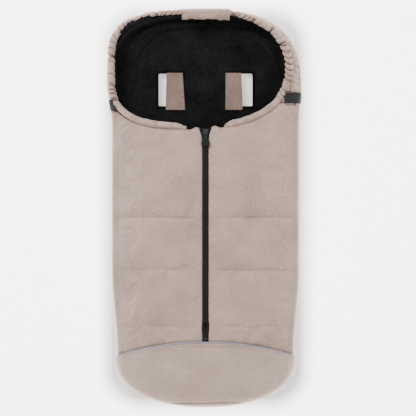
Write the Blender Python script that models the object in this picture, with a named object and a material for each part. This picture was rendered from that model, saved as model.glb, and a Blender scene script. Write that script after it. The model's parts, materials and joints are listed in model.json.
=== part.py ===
"""A padded stroller footmuff, lying on its back with its hood towards +Y and its front up.

The back is a padded tray that ends at the side seam. A padded dome covers it: a hood wall round the
head, and a front whose two lapels fold open along slanted lines once the zip is down. Each wall is
three separate pieces, a woven shell, a wadding and a fleece lining. A gathered rim with an elastic in
it runs round the mouth. A cap with a piped edge is pulled over the foot end, and the harness goes
through five bound slots in the back. Lengths are metres, +Z is up and the part rests on z = 0.
"""

import math

import bmesh
import bpy
from mathutils import Vector

# Side seam, seen from above: the widest outline of the padded bag
HOOD_TOP_Y = 0.4678
HOOD_WIDE_Y = 0.289
HOOD_HALF_WIDTH = 0.230
HOOD_FLARE = 0.0105
SHOULDER_LENGTH = 0.063
BODY_TOP_Y = HOOD_WIDE_Y - SHOULDER_LENGTH
BODY_HALF_WIDTH = HOOD_HALF_WIDTH - HOOD_FLARE
TAPER_TOP_Y = -0.140
FOOT_WIDE_Y = -0.352
FOOT_TAPER = 0.0135
FOOT_HALF_WIDTH = BODY_HALF_WIDTH - FOOT_TAPER
FOOT_TIP_Y = -0.4635
HOOD_POWER = 3.0
FOOT_POWER = 2.2

# Heights
FIT_GAP = 0.0003
UNDERLAY = 0.0024
SEAM_Z = 0.040
DOME_RISE = 0.040
DOME_POWER = 3.5
SIDE_ROUNDING = 0.045
SHELL_FLOOR_Z = UNDERLAY + FIT_GAP
SEAM_TOP_Z = SEAM_Z + FIT_GAP / 2
SEAM_LOW_Z = SEAM_Z - FIT_GAP / 2
CROWN_Z = SEAM_TOP_Z + DOME_RISE

# Layers of every padded wall, as depths below its outer face
SHELL_THICK = 0.0015
WADDING_THICK = 0.0060
LINING_THICK = 0.0030
SHELL_DEPTHS = (0.0, SHELL_THICK)
WADDING_DEPTHS = (SHELL_THICK + FIT_GAP, SHELL_THICK + FIT_GAP + WADDING_THICK)
LINING_DEPTHS = (WADDING_DEPTHS[1] + FIT_GAP, WADDING_DEPTHS[1] + FIT_GAP + LINING_THICK)
WALL = LINING_DEPTHS[1]
LINING_TOP_Z = SHELL_FLOOR_Z + WALL

# Mouth: the edge of the padded walls round the face, a flattened oval
MOUTH_SIDE_INSET = 0.016
MOUTH_HEAD_INSET = 0.0132
MOUTH_LOW_Y = 0.189
MOUTH_TOP_Y = HOOD_TOP_Y - MOUTH_HEAD_INSET
MOUTH_CENTRE_Y = (MOUTH_TOP_Y + MOUTH_LOW_Y) / 2
MOUTH_HALF_WIDTH = HOOD_HALF_WIDTH - MOUTH_SIDE_INSET
MOUTH_HALF_LENGTH = (MOUTH_TOP_Y - MOUTH_LOW_Y) / 2
MOUTH_POWER = 2.6
STRAP_LINE_Y = 0.245

# Gathered rim
RIM_RADIUS = 0.0065
RIM_GATHER = 0.0007
RIM_DROP = 0.004
RIM_CLEARANCE = 0.0009
RIM_BORE_RADIUS = 0.0026
ELASTIC_RADIUS = 0.0021
GATHER_PITCH = 0.024
RIM_PAST_FOLD = 0.011
HEM_START_X = 0.045
RIM_INSET = RIM_RADIUS + RIM_GATHER + RIM_CLEARANCE

# Quilting channels across the front
CHANNEL_YS = (-0.021, -0.145, -0.278)
CHANNEL_HALF_WIDTH = 0.016
CHANNEL_DEPTH = 0.0035
CHANNEL_FADE_NEAR = 0.030
CHANNEL_FADE_FAR = 0.070

# Lapel fold lines, from the foot of the zip to the rim at each side
FOLD_FOOT_Y = -0.310
FOLD_HEAD_X = 0.150
FOLD_GAP = 0.0004
FOLD_AXIS_LIFT = 0.0006
LAPEL_FOOT_Y = -0.276

# Zip
ZIP_TOP_Y = 0.186
ZIP_HALF_OPENING = 0.0060
ZIP_SLOT_END_Y = -0.324
NECK_Y = 0.150
NECK_FLARE = 0.005
WADDING_SETBACK = 0.016
LINING_SETBACK = 0.013
TAPE_THICK = 0.0008
TAPE_HALF_WIDTH = 0.0145
TAPE_SLIT = 0.0006
TAPE_END_Y = -0.270
END_TAPE_GAP = 0.0015
TEETH_THICK = 0.0022
TOOTH_PITCH = 0.006
TOOTH_ROOT_HALF = 0.0011
TOOTH_TIP_HALF = 0.0008
TOOTH_REACH = 0.0009
BEAD_INNER_X = 0.0022
BEAD_OUTER_X = 0.0042
TEETH_LOW_Y = -0.268
TEETH_TOP_Y = 0.1775
END_BEAD_TOP_Y = -0.2735
END_TEETH_TOP_Y = -0.2855
END_TEETH_LOW_Y = -0.3028
TAPE_TOP_Z = CROWN_Z - SHELL_THICK - FIT_GAP
TEETH_LOW_Z = TAPE_TOP_Z + FIT_GAP
TEETH_TOP_Z = TEETH_LOW_Z + TEETH_THICK

# Slider and its pull
SLIDER_Y = 0.178
SLIDER_LENGTH = 0.014
SLIDER_HALF_WIDTH = 0.0055
SLIDER_CORNER = 0.0015
SLIDER_PLATE = 0.0011
SLIDER_FLANGE = 0.0009
SLIDER_CLEARANCE = 0.0004
POST_HALF_WIDTH = 0.0016
POST_LENGTH = 0.0030
BAIL_HALF_WIDTH = 0.0012
BAIL_LENGTH = 0.0085
BAIL_RISE = 0.0053
BAIL_WALL = 0.0011
BAIL_SHIFT_Y = -0.001
PIN_RADIUS = 0.0008
PIN_RISE = 0.0029
PULL_THICK = 0.0016
PULL_ARM_WIDTH = 0.0017
PULL_ARM_LENGTH = 0.0070
PULL_TONGUE_LENGTH = 0.0080
PULL_TONGUE_HALF_WIDTH = 0.0028
TAB_NECK_HALF_WIDTH = 0.0056
TAB_NECK_LENGTH = 0.0110
TAB_BAR_HALF_WIDTH = 0.0096
TAB_BAR_LENGTH = 0.0098
PULL_TAB_THICK = 0.0034
STOP_Y = -0.3055
STOP_HALF_WIDTH = 0.0042
STOP_LENGTH = 0.0040
STOP_THICK = 0.0016

# Foot cap
CAP_THICK = 0.0025
CAP_LOOSENESS = 0.0038
CAP_LIFT = 0.0005
CAP_MOUTH_Y = -0.317
CAP_MOUTH_SAG = 0.034
CAP_MOUTH_POWER = 2.2
CAP_SOLE_DEPTH = 0.0035
CAP_SOLE_Y = FOOT_TIP_Y + CAP_SOLE_DEPTH
PIPING_RADIUS = 0.0018
PIPING_SEAT = 0.0022

# Harness slots through the back
SLOT_WALL = 0.0012
SLOT_FLANGE = 0.0050
SLOT_FLANGE_THICK = 0.0010
SHOULDER_SLOT_INNER_X = 0.054
SHOULDER_SLOT_OUTER_X = 0.112
SHOULDER_SLOT_LOW_Y = 0.240
SHOULDER_SLOT_HIGH_Y = 0.319
HIP_SLOT_X = 0.115
HIP_SLOT_Y = -0.025
HIP_SLOT_WIDTH = 0.020
HIP_SLOT_LENGTH = 0.058
CROTCH_SLOT_Y = -0.130
CROTCH_SLOT_WIDTH = 0.058
CROTCH_SLOT_LENGTH = 0.020
HEAD_SEAM_DROP = 0.025
FLAP_SEWN_X = 0.048
FLAP_FREE_X = 0.092
FLAP_LOW_Y = 0.2315
FLAP_HIGH_Y = 0.316
FLAP_THICK = 0.0014

# Head tab, side bands and grip patch
TAB_HALF_WIDTH = 0.056
TAB_THICK = 0.0017
TAB_LOW_Z = 0.029
TAB_FRONT_DROP = 0.004
TAB_FIRST_TURN = math.radians(60)
TAB_TURN = math.radians(40)
BAND_Y = 0.252
BAND_WIDTH = 0.026
BAND_THICK = 0.0011
BAND_TOP_Z = 0.062
BAND_SEWN_X = 0.128
PATCH_HALF_WIDTH = 0.140
PATCH_LOW_Y = 0.045
PATCH_HIGH_Y = 0.205
PATCH_CORNER = 0.025

# Cutters run this far past what they cut, and points nearer than the weld become one
OVERRUN = 0.020
WELD = 1e-5

# Mesh fineness
DOME_SPREAD_SHARES = (1.0, 0.985, 0.93, 0.82, 0.62, 0.34, 0.09, 0.0)
TRAY_TURN_SHARES = (0.0, 0.33, 0.66, 1.0)
NECK_SHARES = (0.5, 0.8, 1.0)
HOOD_STATIONS = 8
FOOT_STATIONS = 6
RIM_SIDES = 8
CORD_SIDES = 6


def smooth_share(value, low, high):
    """0 below low, 1 above high, and a smooth rise between them."""
    t = max(0.0, min(1.0, (value - low) / (high - low)))
    return t * t * (3 - 2 * t)


def half_width(y):
    """Half the bag's width at y, straight between its two rounded ends."""
    if y >= BODY_TOP_Y:
        growth = HOOD_HALF_WIDTH - BODY_HALF_WIDTH
        return BODY_HALF_WIDTH + growth * smooth_share(y, BODY_TOP_Y, HOOD_WIDE_Y)
    growth = BODY_HALF_WIDTH - FOOT_HALF_WIDTH
    return FOOT_HALF_WIDTH + growth * smooth_share(y, FOOT_WIDE_Y, TAPER_TOP_Y)


def other_side(share, power):
    """The second coordinate of a unit superellipse quarter, from its first."""
    return max(0.0, 1 - share**power) ** (1 / power)


def even_points(points, count):
    """count + 1 points at equal steps along a polyline."""
    lengths = [0.0]
    for a, b in zip(points, points[1:]):
        lengths.append(lengths[-1] + (b - a).length)
    found, k = [], 0
    for i in range(count + 1):
        at = lengths[-1] * i / count
        while k < len(points) - 2 and lengths[k + 1] < at:
            k += 1
        share = (at - lengths[k]) / max(lengths[k + 1] - lengths[k], WELD * WELD)
        found.append(points[k].lerp(points[k + 1], min(1.0, share)))
    return found


def oval_point(turn, power):
    """A point of a unit superellipse at a turn in the first quarter."""
    across, up = max(0.0, math.cos(turn)), max(0.0, math.sin(turn))
    return Vector((across ** (2 / power), up ** (2 / power)))


# The side seam


def end_arc(width, wide_y, tip_y, power, count):
    """Points from the widest place to the tip of a rounded end, on the +X side."""
    fine = []
    for i in range(8 * count + 1):
        unit = oval_point(math.pi / 2 * i / (8 * count), power)
        fine.append(Vector((width * unit.x, wide_y + (tip_y - wide_y) * unit.y)))
    return even_points(fine, count)


def body_rows():
    """The heights of the rows between the two rounded ends, with three rows at each channel."""
    rows = []
    for y in CHANNEL_YS:
        rows += [y - CHANNEL_HALF_WIDTH, y, y + CHANNEL_HALF_WIDTH]
    tops = sorted(CHANNEL_YS)
    rows += [(a + b) / 2 for a, b in zip(tops, tops[1:])]
    first = tops[-1] + CHANNEL_HALF_WIDTH
    rows += [first + (BODY_TOP_Y - first) * share for share in (1 / 2, 1)]
    rows.append((BODY_TOP_Y + HOOD_WIDE_Y) / 2)
    return sorted(y for y in rows if FOOT_WIDE_Y < y < HOOD_WIDE_Y)


def seam_stations():
    """(seam point, spine point) pairs in a closed loop: up the +X side and down the -X side."""
    foot = end_arc(FOOT_HALF_WIDTH, FOOT_WIDE_Y, FOOT_TIP_Y, FOOT_POWER, FOOT_STATIONS)
    hood = end_arc(HOOD_HALF_WIDTH, HOOD_WIDE_Y, HOOD_TOP_Y, HOOD_POWER, HOOD_STATIONS)
    side = [(p, Vector((0.0, FOOT_WIDE_Y))) for p in reversed(foot)]
    side += [(Vector((half_width(y), y)), Vector((0.0, y))) for y in body_rows()]
    side += [(p, Vector((0.0, HOOD_WIDE_Y))) for p in hood]
    other = [(Vector((-p.x, p.y)), s) for p, s in reversed(side[1:-1])]
    return side + other


def inward_normals(points):
    """The inward unit normal at each point of a closed loop that runs anticlockwise."""
    found = []
    for i in range(len(points)):
        along = points[(i + 1) % len(points)] - points[i - 1]
        found.append(Vector((-along.y, along.x)).normalized())
    return found


# The dome over the bag and the tray under it


def channel_dip(x, y, spread, depth):
    """How far the quilting draws a layer down. It fades out at the zip and at the side seam."""
    nearest = min(abs(y - c) for c in CHANNEL_YS)
    if nearest >= CHANNEL_HALF_WIDTH or depth >= WALL:
        return 0.0
    across = (1 - nearest / CHANNEL_HALF_WIDTH) ** 2
    fade = smooth_share(abs(x), CHANNEL_FADE_NEAR, CHANNEL_FADE_FAR) * (1 - spread**6)
    return CHANNEL_DEPTH * across * fade * (1 - max(0.0, depth) / WALL)


def dome_point(seam, spine, spread, depth, lift):
    """A point of the dome, depth below its outer face, at a share of the way from spine to seam.

    lift is the height that the dome's crown gains or loses for that depth.
    """
    plan = spine.lerp(seam, spread)
    height = SEAM_TOP_Z + (DOME_RISE + lift) * other_side(spread, DOME_POWER)
    return Vector((plan.x, plan.y, height - channel_dip(plan.x, plan.y, spread, depth)))


def dome_height(x, y, grown=0.0):
    """Height of the dome's outer face over a point of the plan, with the whole dome grown."""
    if y > HOOD_WIDE_Y:
        along = (y - HOOD_WIDE_Y) / (HOOD_TOP_Y + grown - HOOD_WIDE_Y)
        across = abs(x) / (HOOD_HALF_WIDTH + grown)
        spread = (across**HOOD_POWER + along**HOOD_POWER) ** (1 / HOOD_POWER)
    else:
        spread = abs(x) / (half_width(y) + grown)
    return SEAM_TOP_Z + (DOME_RISE + grown) * other_side(min(1.0, spread), DOME_POWER)


def tray_point(seam, normal, turn, depth, lower):
    """A point of the back tray at a turn from the seam down to the floor's edge.

    depth is how far the point lies inside the outer face at the side, and lower the same at the floor.
    """
    inset = SIDE_ROUNDING - (SIDE_ROUNDING - depth) * math.cos(turn)
    drop = (SEAM_LOW_Z - SHELL_FLOOR_Z - lower) * math.sin(turn)
    plan = seam + normal * inset
    return Vector((plan.x, plan.y, SEAM_LOW_Z - drop))


def finish_mesh(name, bm, material, smooth=True):
    """Turns a bmesh into a named object with its material."""
    bmesh.ops.recalc_face_normals(bm, faces=bm.faces)
    mesh = bpy.data.meshes.new(name)
    bm.to_mesh(mesh)
    bm.free()
    if smooth:
        mesh.shade_smooth()
        mesh.set_sharp_from_angle(angle=math.radians(35))
    obj = bpy.data.objects.new(name, mesh)
    obj.data.materials.append(material)
    bpy.context.scene.collection.objects.link(obj)
    return obj


def bridge(bm, first, second):
    """Triangles between two closed rings, split the same way in every layer so that they nest."""
    for i in range(len(first)):
        j = (i + 1) % len(first)
        bm.faces.new([first[i], first[j], second[j]])
        bm.faces.new([first[i], second[j], second[i]])


def dome_rings(bm, depth, lift):
    """The dome's rings of vertices at one depth, from the seam to the spine."""
    stations = seam_stations()
    normals = inward_normals([p for p, _ in stations])
    seams = [p + n * depth for (p, _), n in zip(stations, normals)]
    rings = []
    for share in DOME_SPREAD_SHARES:
        points = [dome_point(p, s, share, depth, lift) for p, (_, s) in zip(seams, stations)]
        rings.append([bm.verts.new(p) for p in points])
    return rings


def tray_rings(bm, depth, lower):
    """The tray's rings of vertices at one depth, from the seam to the floor's edge."""
    points = [p for p, _ in seam_stations()]
    normals = inward_normals(points)
    rings = []
    for share in TRAY_TURN_SHARES:
        turn = math.pi / 2 * share
        ring = [tray_point(p, n, turn, depth, lower) for p, n in zip(points, normals)]
        rings.append([bm.verts.new(p) for p in ring])
    return rings


def skin(bm, rings):
    """The faces between neighbouring rings."""
    for a, b in zip(rings, rings[1:]):
        bridge(bm, a, b)


def weld(bm):
    """Joins the vertices that meet along the spine."""
    bmesh.ops.remove_doubles(bm, verts=bm.verts, dist=WELD)


def dome_layer(name, depths, material):
    """One closed layer of the dome over the whole bag, between two depths."""
    bm = bmesh.new()
    outer = dome_rings(bm, depths[0], -depths[0])
    inner = dome_rings(bm, depths[1], -depths[1])
    skin(bm, outer)
    skin(bm, inner)
    bridge(bm, outer[0], inner[0])
    weld(bm)
    return finish_mesh(name, bm, material)


def tray_layer(name, depths, material):
    """One closed layer of the padded back, with its floor and its rounded sides."""
    bm = bmesh.new()
    outer = tray_rings(bm, depths[0], depths[0])
    inner = tray_rings(bm, depths[1], depths[1])
    for rings in (outer, inner):
        skin(bm, rings)
        bm.faces.new(rings[-1])
    bridge(bm, outer[0], inner[0])
    return finish_mesh(name, bm, material)


def whole_bag(name, side, top, bottom, material):
    """The whole bag as one closed body, grown at its side, top and bottom."""
    bm = bmesh.new()
    dome = dome_rings(bm, -side, top)
    tray = tray_rings(bm, -side, -bottom)
    skin(bm, dome)
    skin(bm, tray)
    bridge(bm, dome[0], tray[0])
    bm.faces.new(tray[-1])
    weld(bm)
    return finish_mesh(name, bm, material)


def prism(name, outline, low, high, material):
    """An upright body with the given outline in the plan."""
    bm = bmesh.new()
    base = bm.faces.new([bm.verts.new((x, y, low)) for x, y in outline])
    raised = bmesh.ops.extrude_face_region(bm, geom=[base])
    moved = [v for v in raised["geom"] if isinstance(v, bmesh.types.BMVert)]
    bmesh.ops.translate(bm, verts=moved, vec=(0, 0, high - low))
    return finish_mesh(name, bm, material, smooth=False)


def block(name, low, high, material):
    """A box between two corners."""
    outline = [(low[0], low[1]), (high[0], low[1]), (high[0], high[1]), (low[0], high[1])]
    return prism(name, outline, low[2], high[2], material)


def combine(obj, other, operation):
    """Adds a Boolean with other, which stays as a hidden helper."""
    other.hide_render = True
    other.display_type = "WIRE"
    modifier = obj.modifiers.new(operation.lower() + "_" + other.name, "BOOLEAN")
    modifier.object = other
    modifier.operation = operation
    modifier.solver = "EXACT"
    return obj


def loft(name, rings, material, smooth=True):
    """A closed body through rings of points, with flat ends."""
    bm = bmesh.new()
    loops = [[bm.verts.new(p) for p in ring] for ring in rings]
    skin(bm, loops)
    bm.faces.new(loops[0])
    bm.faces.new(loops[-1])
    return finish_mesh(name, bm, material, smooth)


def tube(name, path, radii, sides, material):
    """A tube along a path of points, with one radius for each point and flat ends."""
    rings = []
    for i, here in enumerate(path):
        along = (path[min(i + 1, len(path) - 1)] - path[max(i - 1, 0)]).normalized()
        side = along.cross(Vector((0, 0, 1))).normalized()
        up = side.cross(along)
        turns = [math.tau * (k + 0.5) / sides for k in range(sides)]
        rings.append([here + (side * math.cos(a) + up * math.sin(a)) * radii[i] for a in turns])
    return loft(name, rings, material)


def carry(axis_name, place, pieces):
    """Parents pieces to an empty on their joint's axis, leaving them where they are."""
    axis = bpy.data.objects.new(axis_name, None)
    axis.location = place
    bpy.context.scene.collection.objects.link(axis)
    for piece in pieces:
        piece.parent = axis
        piece.location = -Vector(place)


# The mouth and the fold lines, seen from above


def mouth_point(turn):
    """A point of the mouth's edge. Turn 0 is at +X and a right angle at the head."""
    unit = oval_point(math.asin(min(1.0, abs(math.sin(turn)))), MOUTH_POWER)
    x = math.copysign(MOUTH_HALF_WIDTH * unit.x, math.cos(turn))
    y = math.copysign(MOUTH_HALF_LENGTH * unit.y, math.sin(turn))
    return Vector((x, MOUTH_CENTRE_Y + y))


def inset_mouth_point(turn):
    """The point of the rim's middle line that goes with a point of the mouth's edge."""
    edge = mouth_point(turn)
    x = edge.x * (MOUTH_HALF_WIDTH - RIM_INSET) / MOUTH_HALF_WIDTH
    rise = (edge.y - MOUTH_CENTRE_Y) * (MOUTH_HALF_LENGTH - RIM_INSET) / MOUTH_HALF_LENGTH
    return Vector((x, MOUTH_CENTRE_Y + rise))


def mouth_turn_at_y(y):
    """The turn, on the +X side and below the centre, where the mouth's edge has this y."""
    return -math.asin(((MOUTH_CENTRE_Y - y) / MOUTH_HALF_LENGTH) ** (MOUTH_POWER / 2))


def mouth_turn_at_x(x):
    """The turn, on the +X side and below the centre, where the mouth's edge has this x."""
    return -math.acos((x / MOUTH_HALF_WIDTH) ** (MOUTH_POWER / 2))


def mouth_curve(start, stop, count):
    """Evenly spaced points of the mouth's edge between two turns."""
    fine = [mouth_point(start + (stop - start) * i / (8 * count)) for i in range(8 * count + 1)]
    return even_points(fine, count)


def fold_direction():
    """Unit direction of the +X fold line, from the foot of the zip up to the rim."""
    head = mouth_point(mouth_turn_at_x(FOLD_HEAD_X))
    return (head - Vector((0.0, FOLD_FOOT_Y))).normalized()


def fold_y(x, shift):
    """Where the +X fold line, moved outwards by shift, has this x."""
    along = fold_direction()
    return FOLD_FOOT_Y + (x * along.y - shift) / along.x


def fold_x(y, shift):
    """Where the +X fold line, moved outwards by shift, has this y."""
    along = fold_direction()
    return ((y - FOLD_FOOT_Y) * along.x + shift) / along.y


def mouth_turn_at_fold(shift):
    """The turn where the mouth's edge meets the +X fold line moved outwards by shift."""
    low, high = -math.pi / 2, 0.0
    for _ in range(60):
        middle = (low + high) / 2
        here = mouth_point(middle)
        if here.x < fold_x(here.y, shift):
            low = middle
        else:
            high = middle
    return (low + high) / 2


def mirrored(outline):
    """The outline on the other side of the zip."""
    return [(-x, y) for x, y in reversed(outline)]


def fold_foot(setback, shift):
    """The plan points where the fold line, moved outwards by shift, reaches the zip opening."""
    meeting = fold_y(setback, shift)
    foot = LAPEL_FOOT_Y - shift
    if meeting >= foot:
        return [(setback, meeting)]
    return [(setback, foot), (fold_x(foot, shift), foot)]


def lapel_outline(setback):
    """Plan of the +X lapel, whose inner edge keeps setback from the middle of the zip."""
    flare_x = setback + NECK_FLARE
    outline = list(reversed(fold_foot(setback, -FOLD_GAP)))
    outline.append((setback, NECK_Y))
    for share in NECK_SHARES:
        rise = NECK_Y + (ZIP_TOP_Y - NECK_Y) * share
        outline.append((setback + NECK_FLARE * share**2, rise))
    edge = mouth_curve(mouth_turn_at_x(flare_x), mouth_turn_at_fold(-FOLD_GAP), 10)
    return outline + [tuple(p) for p in edge]


def front_outline(setback):
    """Plan of the fixed front: all of it below the strap line but the two lapels and the zip."""
    reach_x = HOOD_HALF_WIDTH + OVERRUN
    low_y = FOOT_TIP_Y - OVERRUN
    top_y = STRAP_LINE_Y - FIT_GAP / 2
    edge = mouth_curve(mouth_turn_at_fold(FOLD_GAP), mouth_turn_at_y(top_y), 4)
    half = [(setback, ZIP_SLOT_END_Y)] + fold_foot(setback, FOLD_GAP)
    half += [tuple(p) for p in edge]
    half += [(reach_x, top_y), (reach_x, low_y)]
    return half + mirrored(half)


def hood_outline():
    """Plan of the hood wall: all round the mouth above the strap line."""
    low_y = STRAP_LINE_Y + FIT_GAP / 2
    reach_x = HOOD_HALF_WIDTH + OVERRUN
    reach_y = HOOD_TOP_Y + OVERRUN
    start = mouth_turn_at_y(low_y)
    edge = mouth_curve(start, math.pi - start, 48)
    outer = [(-reach_x, low_y), (-reach_x, reach_y), (reach_x, reach_y), (reach_x, low_y)]
    return [tuple(p) for p in edge] + outer


def half_hood_outline():
    """Plan of the +X half of the hood wall, up to a seam under the head tab."""
    middle, low_y = FIT_GAP / 2, STRAP_LINE_Y + FIT_GAP / 2
    reach_x = HOOD_HALF_WIDTH + OVERRUN
    reach_y = HOOD_TOP_Y + OVERRUN
    edge = mouth_curve(mouth_turn_at_y(low_y), math.pi / 2, 24)
    outline = [tuple(p) for p in edge if p[0] > middle]
    return outline + [(middle, MOUTH_TOP_Y), (middle, reach_y), (reach_x, reach_y), (reach_x, low_y)]


def between_folds(shift):
    """Plan of the triangle between the fold lines, both moved outwards by shift."""
    top_y = MOUTH_CENTRE_Y
    foot_y = fold_y(0.0, shift)
    return [(0.0, foot_y), (fold_x(top_y, shift), top_y), (-fold_x(top_y, shift), top_y)]


# Materials


def finish(name, colour, roughness, metallic=0.0):
    """A plain material, with its colour as linear red, green and blue."""
    material = bpy.data.materials.new(name)
    material.use_nodes = True
    shader = material.node_tree.nodes["Principled BSDF"]
    shader.inputs["Base Color"].default_value = (*colour, 1.0)
    shader.inputs["Roughness"].default_value = roughness
    shader.inputs["Metallic"].default_value = metallic
    return material


def make_materials():
    """The finishes by name."""
    return {
        "shell": finish("woven_polyester", (0.45, 0.36, 0.31), 0.85),
        "wadding": finish("polyester_wadding", (0.80, 0.80, 0.78), 0.95),
        "fleece": finish("coral_fleece", (0.012, 0.012, 0.013), 1.0),
        "elastic": finish("elastic_webbing", (0.035, 0.037, 0.037), 0.8),
        "tape": finish("coated_zip_tape", (0.013, 0.014, 0.015), 0.45),
        "teeth": finish("polyester_teeth", (0.010, 0.010, 0.011), 0.35),
        "metal": finish("nickel_plated_zinc", (0.32, 0.33, 0.34), 0.35, 1.0),
        "rubber": finish("moulded_rubber", (0.030, 0.031, 0.032), 0.55),
        "grip": finish("silicone_dot_mesh", (0.040, 0.040, 0.042), 0.7),
        "piping": finish("reflective_piping", (0.38, 0.37, 0.42), 0.4),
    }


# Padded walls

LAYERS = (
    ("shell", SHELL_DEPTHS, ZIP_HALF_OPENING, "shell"),
    ("wadding", WADDING_DEPTHS, WADDING_SETBACK, "wadding"),
    ("lining", LINING_DEPTHS, LINING_SETBACK, "fleece"),
)
LAPEL_PIECES = (
    "lapel_shell",
    "lapel_wadding",
    "lapel_lining",
    "hem",
    "hem_elastic",
    "zip_tape",
    "zip_teeth",
)


def slots():
    """(name, low x, low y, high x, high y) of each harness slot through the back."""
    shoulder = (SHOULDER_SLOT_INNER_X, SHOULDER_SLOT_OUTER_X)
    hip = (HIP_SLOT_X - HIP_SLOT_WIDTH / 2, HIP_SLOT_X + HIP_SLOT_WIDTH / 2)
    hip_ys = (HIP_SLOT_Y - HIP_SLOT_LENGTH / 2, HIP_SLOT_Y + HIP_SLOT_LENGTH / 2)
    crotch_ys = (CROTCH_SLOT_Y - CROTCH_SLOT_LENGTH / 2, CROTCH_SLOT_Y + CROTCH_SLOT_LENGTH / 2)
    crotch_x = CROTCH_SLOT_WIDTH / 2
    found = [("crotch_slot", -crotch_x, crotch_ys[0], crotch_x, crotch_ys[1])]
    for side, sign in (("left", -1), ("right", 1)):
        xs = sorted(sign * x for x in shoulder)
        found.append((side + "_shoulder_slot", xs[0], SHOULDER_SLOT_LOW_Y, xs[1], SHOULDER_SLOT_HIGH_Y))
        xs = sorted(sign * x for x in hip)
        found.append((side + "_hip_slot", xs[0], hip_ys[0], xs[1], hip_ys[1]))
    return found


def wadding_panels():
    """(name, low x, low y, high x, high y) of the panels that the back's wadding is cut into.

    The panels meet at the sewn edges of the hip and crotch slots, so that no panel goes round one.
    """
    found = {slot[0]: slot[1:] for slot in slots()}
    crotch, hip = found["crotch_slot"], found["right_hip_slot"]
    hem_x, low_y, high_y = crotch[2] + FIT_GAP, crotch[1] - FIT_GAP, crotch[3] + FIT_GAP
    hip_in, hip_out = hip[0] - FIT_GAP, hip[2] + FIT_GAP
    hip_low, hip_high = hip[1] - FIT_GAP, hip[3] + FIT_GAP
    reach = HOOD_HALF_WIDTH + OVERRUN
    foot, head = FOOT_TIP_Y - OVERRUN, HOOD_TOP_Y + OVERRUN
    head_seam = SHOULDER_SLOT_LOW_Y - HEAD_SEAM_DROP
    panels = [
        ("leg_wadding", -reach, foot, reach, low_y),
        ("seat_wadding", -hip_in, high_y, hip_in, hip_high),
        ("back_wadding", -reach, hip_high, reach, head_seam),
        ("head_wadding", -reach, head_seam, reach, head),
    ]
    pairs = (
        ("crotch_side_wadding", hem_x, low_y, reach, high_y),
        ("hip_wadding", hip_in, high_y, hip_out, hip_low),
        ("side_wadding", hip_out, high_y, reach, hip_high),
    )
    for name, x0, y0, x1, y1 in pairs:
        panels.append(("right_" + name, x0, y0, x1, y1))
        panels.append(("left_" + name, -x1, y0, -x0, y1))
    return panels


def cut_slots(back, names, paint):
    """Cuts the named harness slots through a layer of the back."""
    for slot, x0, y0, x1, y1 in slots():
        if slot in names:
            low = (x0 - FIT_GAP, y0 - FIT_GAP, -OVERRUN)
            high = (x1 + FIT_GAP, y1 + FIT_GAP, SEAM_Z)
            cutter = block("cut_" + slot + "_" + back.name, low, high, paint["shell"])
            combine(back, cutter, "DIFFERENCE")


def make_back(paint):
    """The back's shell and lining with the five harness slots, and the panels of its wadding."""
    for layer, depths, colour in (("shell", SHELL_DEPTHS, "shell"), ("lining", LINING_DEPTHS, "fleece")):
        back = tray_layer("back_" + layer, depths, paint[colour])
        cut_slots(back, [slot[0] for slot in slots()], paint)
    half = FIT_GAP / 2
    for name, x0, y0, x1, y1 in wadding_panels():
        panel = tray_layer(name, WADDING_DEPTHS, paint["wadding"])
        low, high = (x0 + half, y0 + half, -OVERRUN), (x1 - half, y1 - half, SEAM_Z + OVERRUN)
        combine(panel, block("keep_" + name, low, high, paint["shell"]), "INTERSECT")
        if name == "head_wadding":
            cut_slots(panel, ("left_shoulder_slot", "right_shoulder_slot"), paint)


def make_slot_bindings(paint):
    """A sewn binding in each slot: a wall through the three layers with a flange on the lining."""
    flange_z = LINING_TOP_Z + FIT_GAP
    top_z = flange_z + SLOT_FLANGE_THICK
    section = (
        (SLOT_WALL, SHELL_FLOOR_Z),
        (0.0, SHELL_FLOOR_Z),
        (0.0, flange_z),
        (-SLOT_FLANGE, flange_z),
        (-SLOT_FLANGE, top_z),
        (SLOT_WALL, top_z),
    )
    for slot, x0, y0, x1, y1 in slots():
        bm = bmesh.new()
        rings = []
        for inset, z in section:
            xs, ys = (x0 + inset, x1 - inset), (y0 + inset, y1 - inset)
            corners = ((xs[0], ys[0]), (xs[1], ys[0]), (xs[1], ys[1]), (xs[0], ys[1]))
            rings.append([bm.verts.new((x, y, z)) for x, y in corners])
        skin(bm, rings + rings[:1])
        finish_mesh(slot + "_binding", bm, paint["shell"], smooth=False)


def make_dome(paint):
    """The hood wall, the fixed front and the two lapels, each in three layers."""
    for layer, depths, setback, colour in LAYERS:
        right = lapel_outline(setback)
        plans = {
            "front_" + layer: front_outline(setback),
            "right_lapel_" + layer: right,
            "left_lapel_" + layer: mirrored(right),
        }
        if layer == "wadding":
            plans["right_hood_wadding"] = half_hood_outline()
            plans["left_hood_wadding"] = mirrored(half_hood_outline())
        else:
            plans["hood_" + layer] = hood_outline()
        for name, plan in plans.items():
            wall = dome_layer(name, depths, paint[colour])
            keep = prism("keep_" + name, plan, SEAM_Z - OVERRUN, CROWN_Z + OVERRUN, paint["shell"])
            combine(wall, keep, "INTERSECT")


# The gathered rim


def rim_path(start, stop):
    """Points along the middle of the rim between two turns of the mouth, half a gather apart."""
    fine = [start + (stop - start) * i / 400 for i in range(401)]
    line = []
    for turn in fine:
        edge, middle = mouth_point(turn), inset_mouth_point(turn)
        line.append(Vector((middle.x, middle.y, dome_height(edge.x, edge.y) - RIM_DROP)))
    length = sum((b - a).length for a, b in zip(line, line[1:]))
    return even_points(line, 2 * round(length / GATHER_PITCH))


def other_hand(path):
    """The path on the other side of the zip."""
    return [Vector((-p.x, p.y, p.z)) for p in path]


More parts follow.
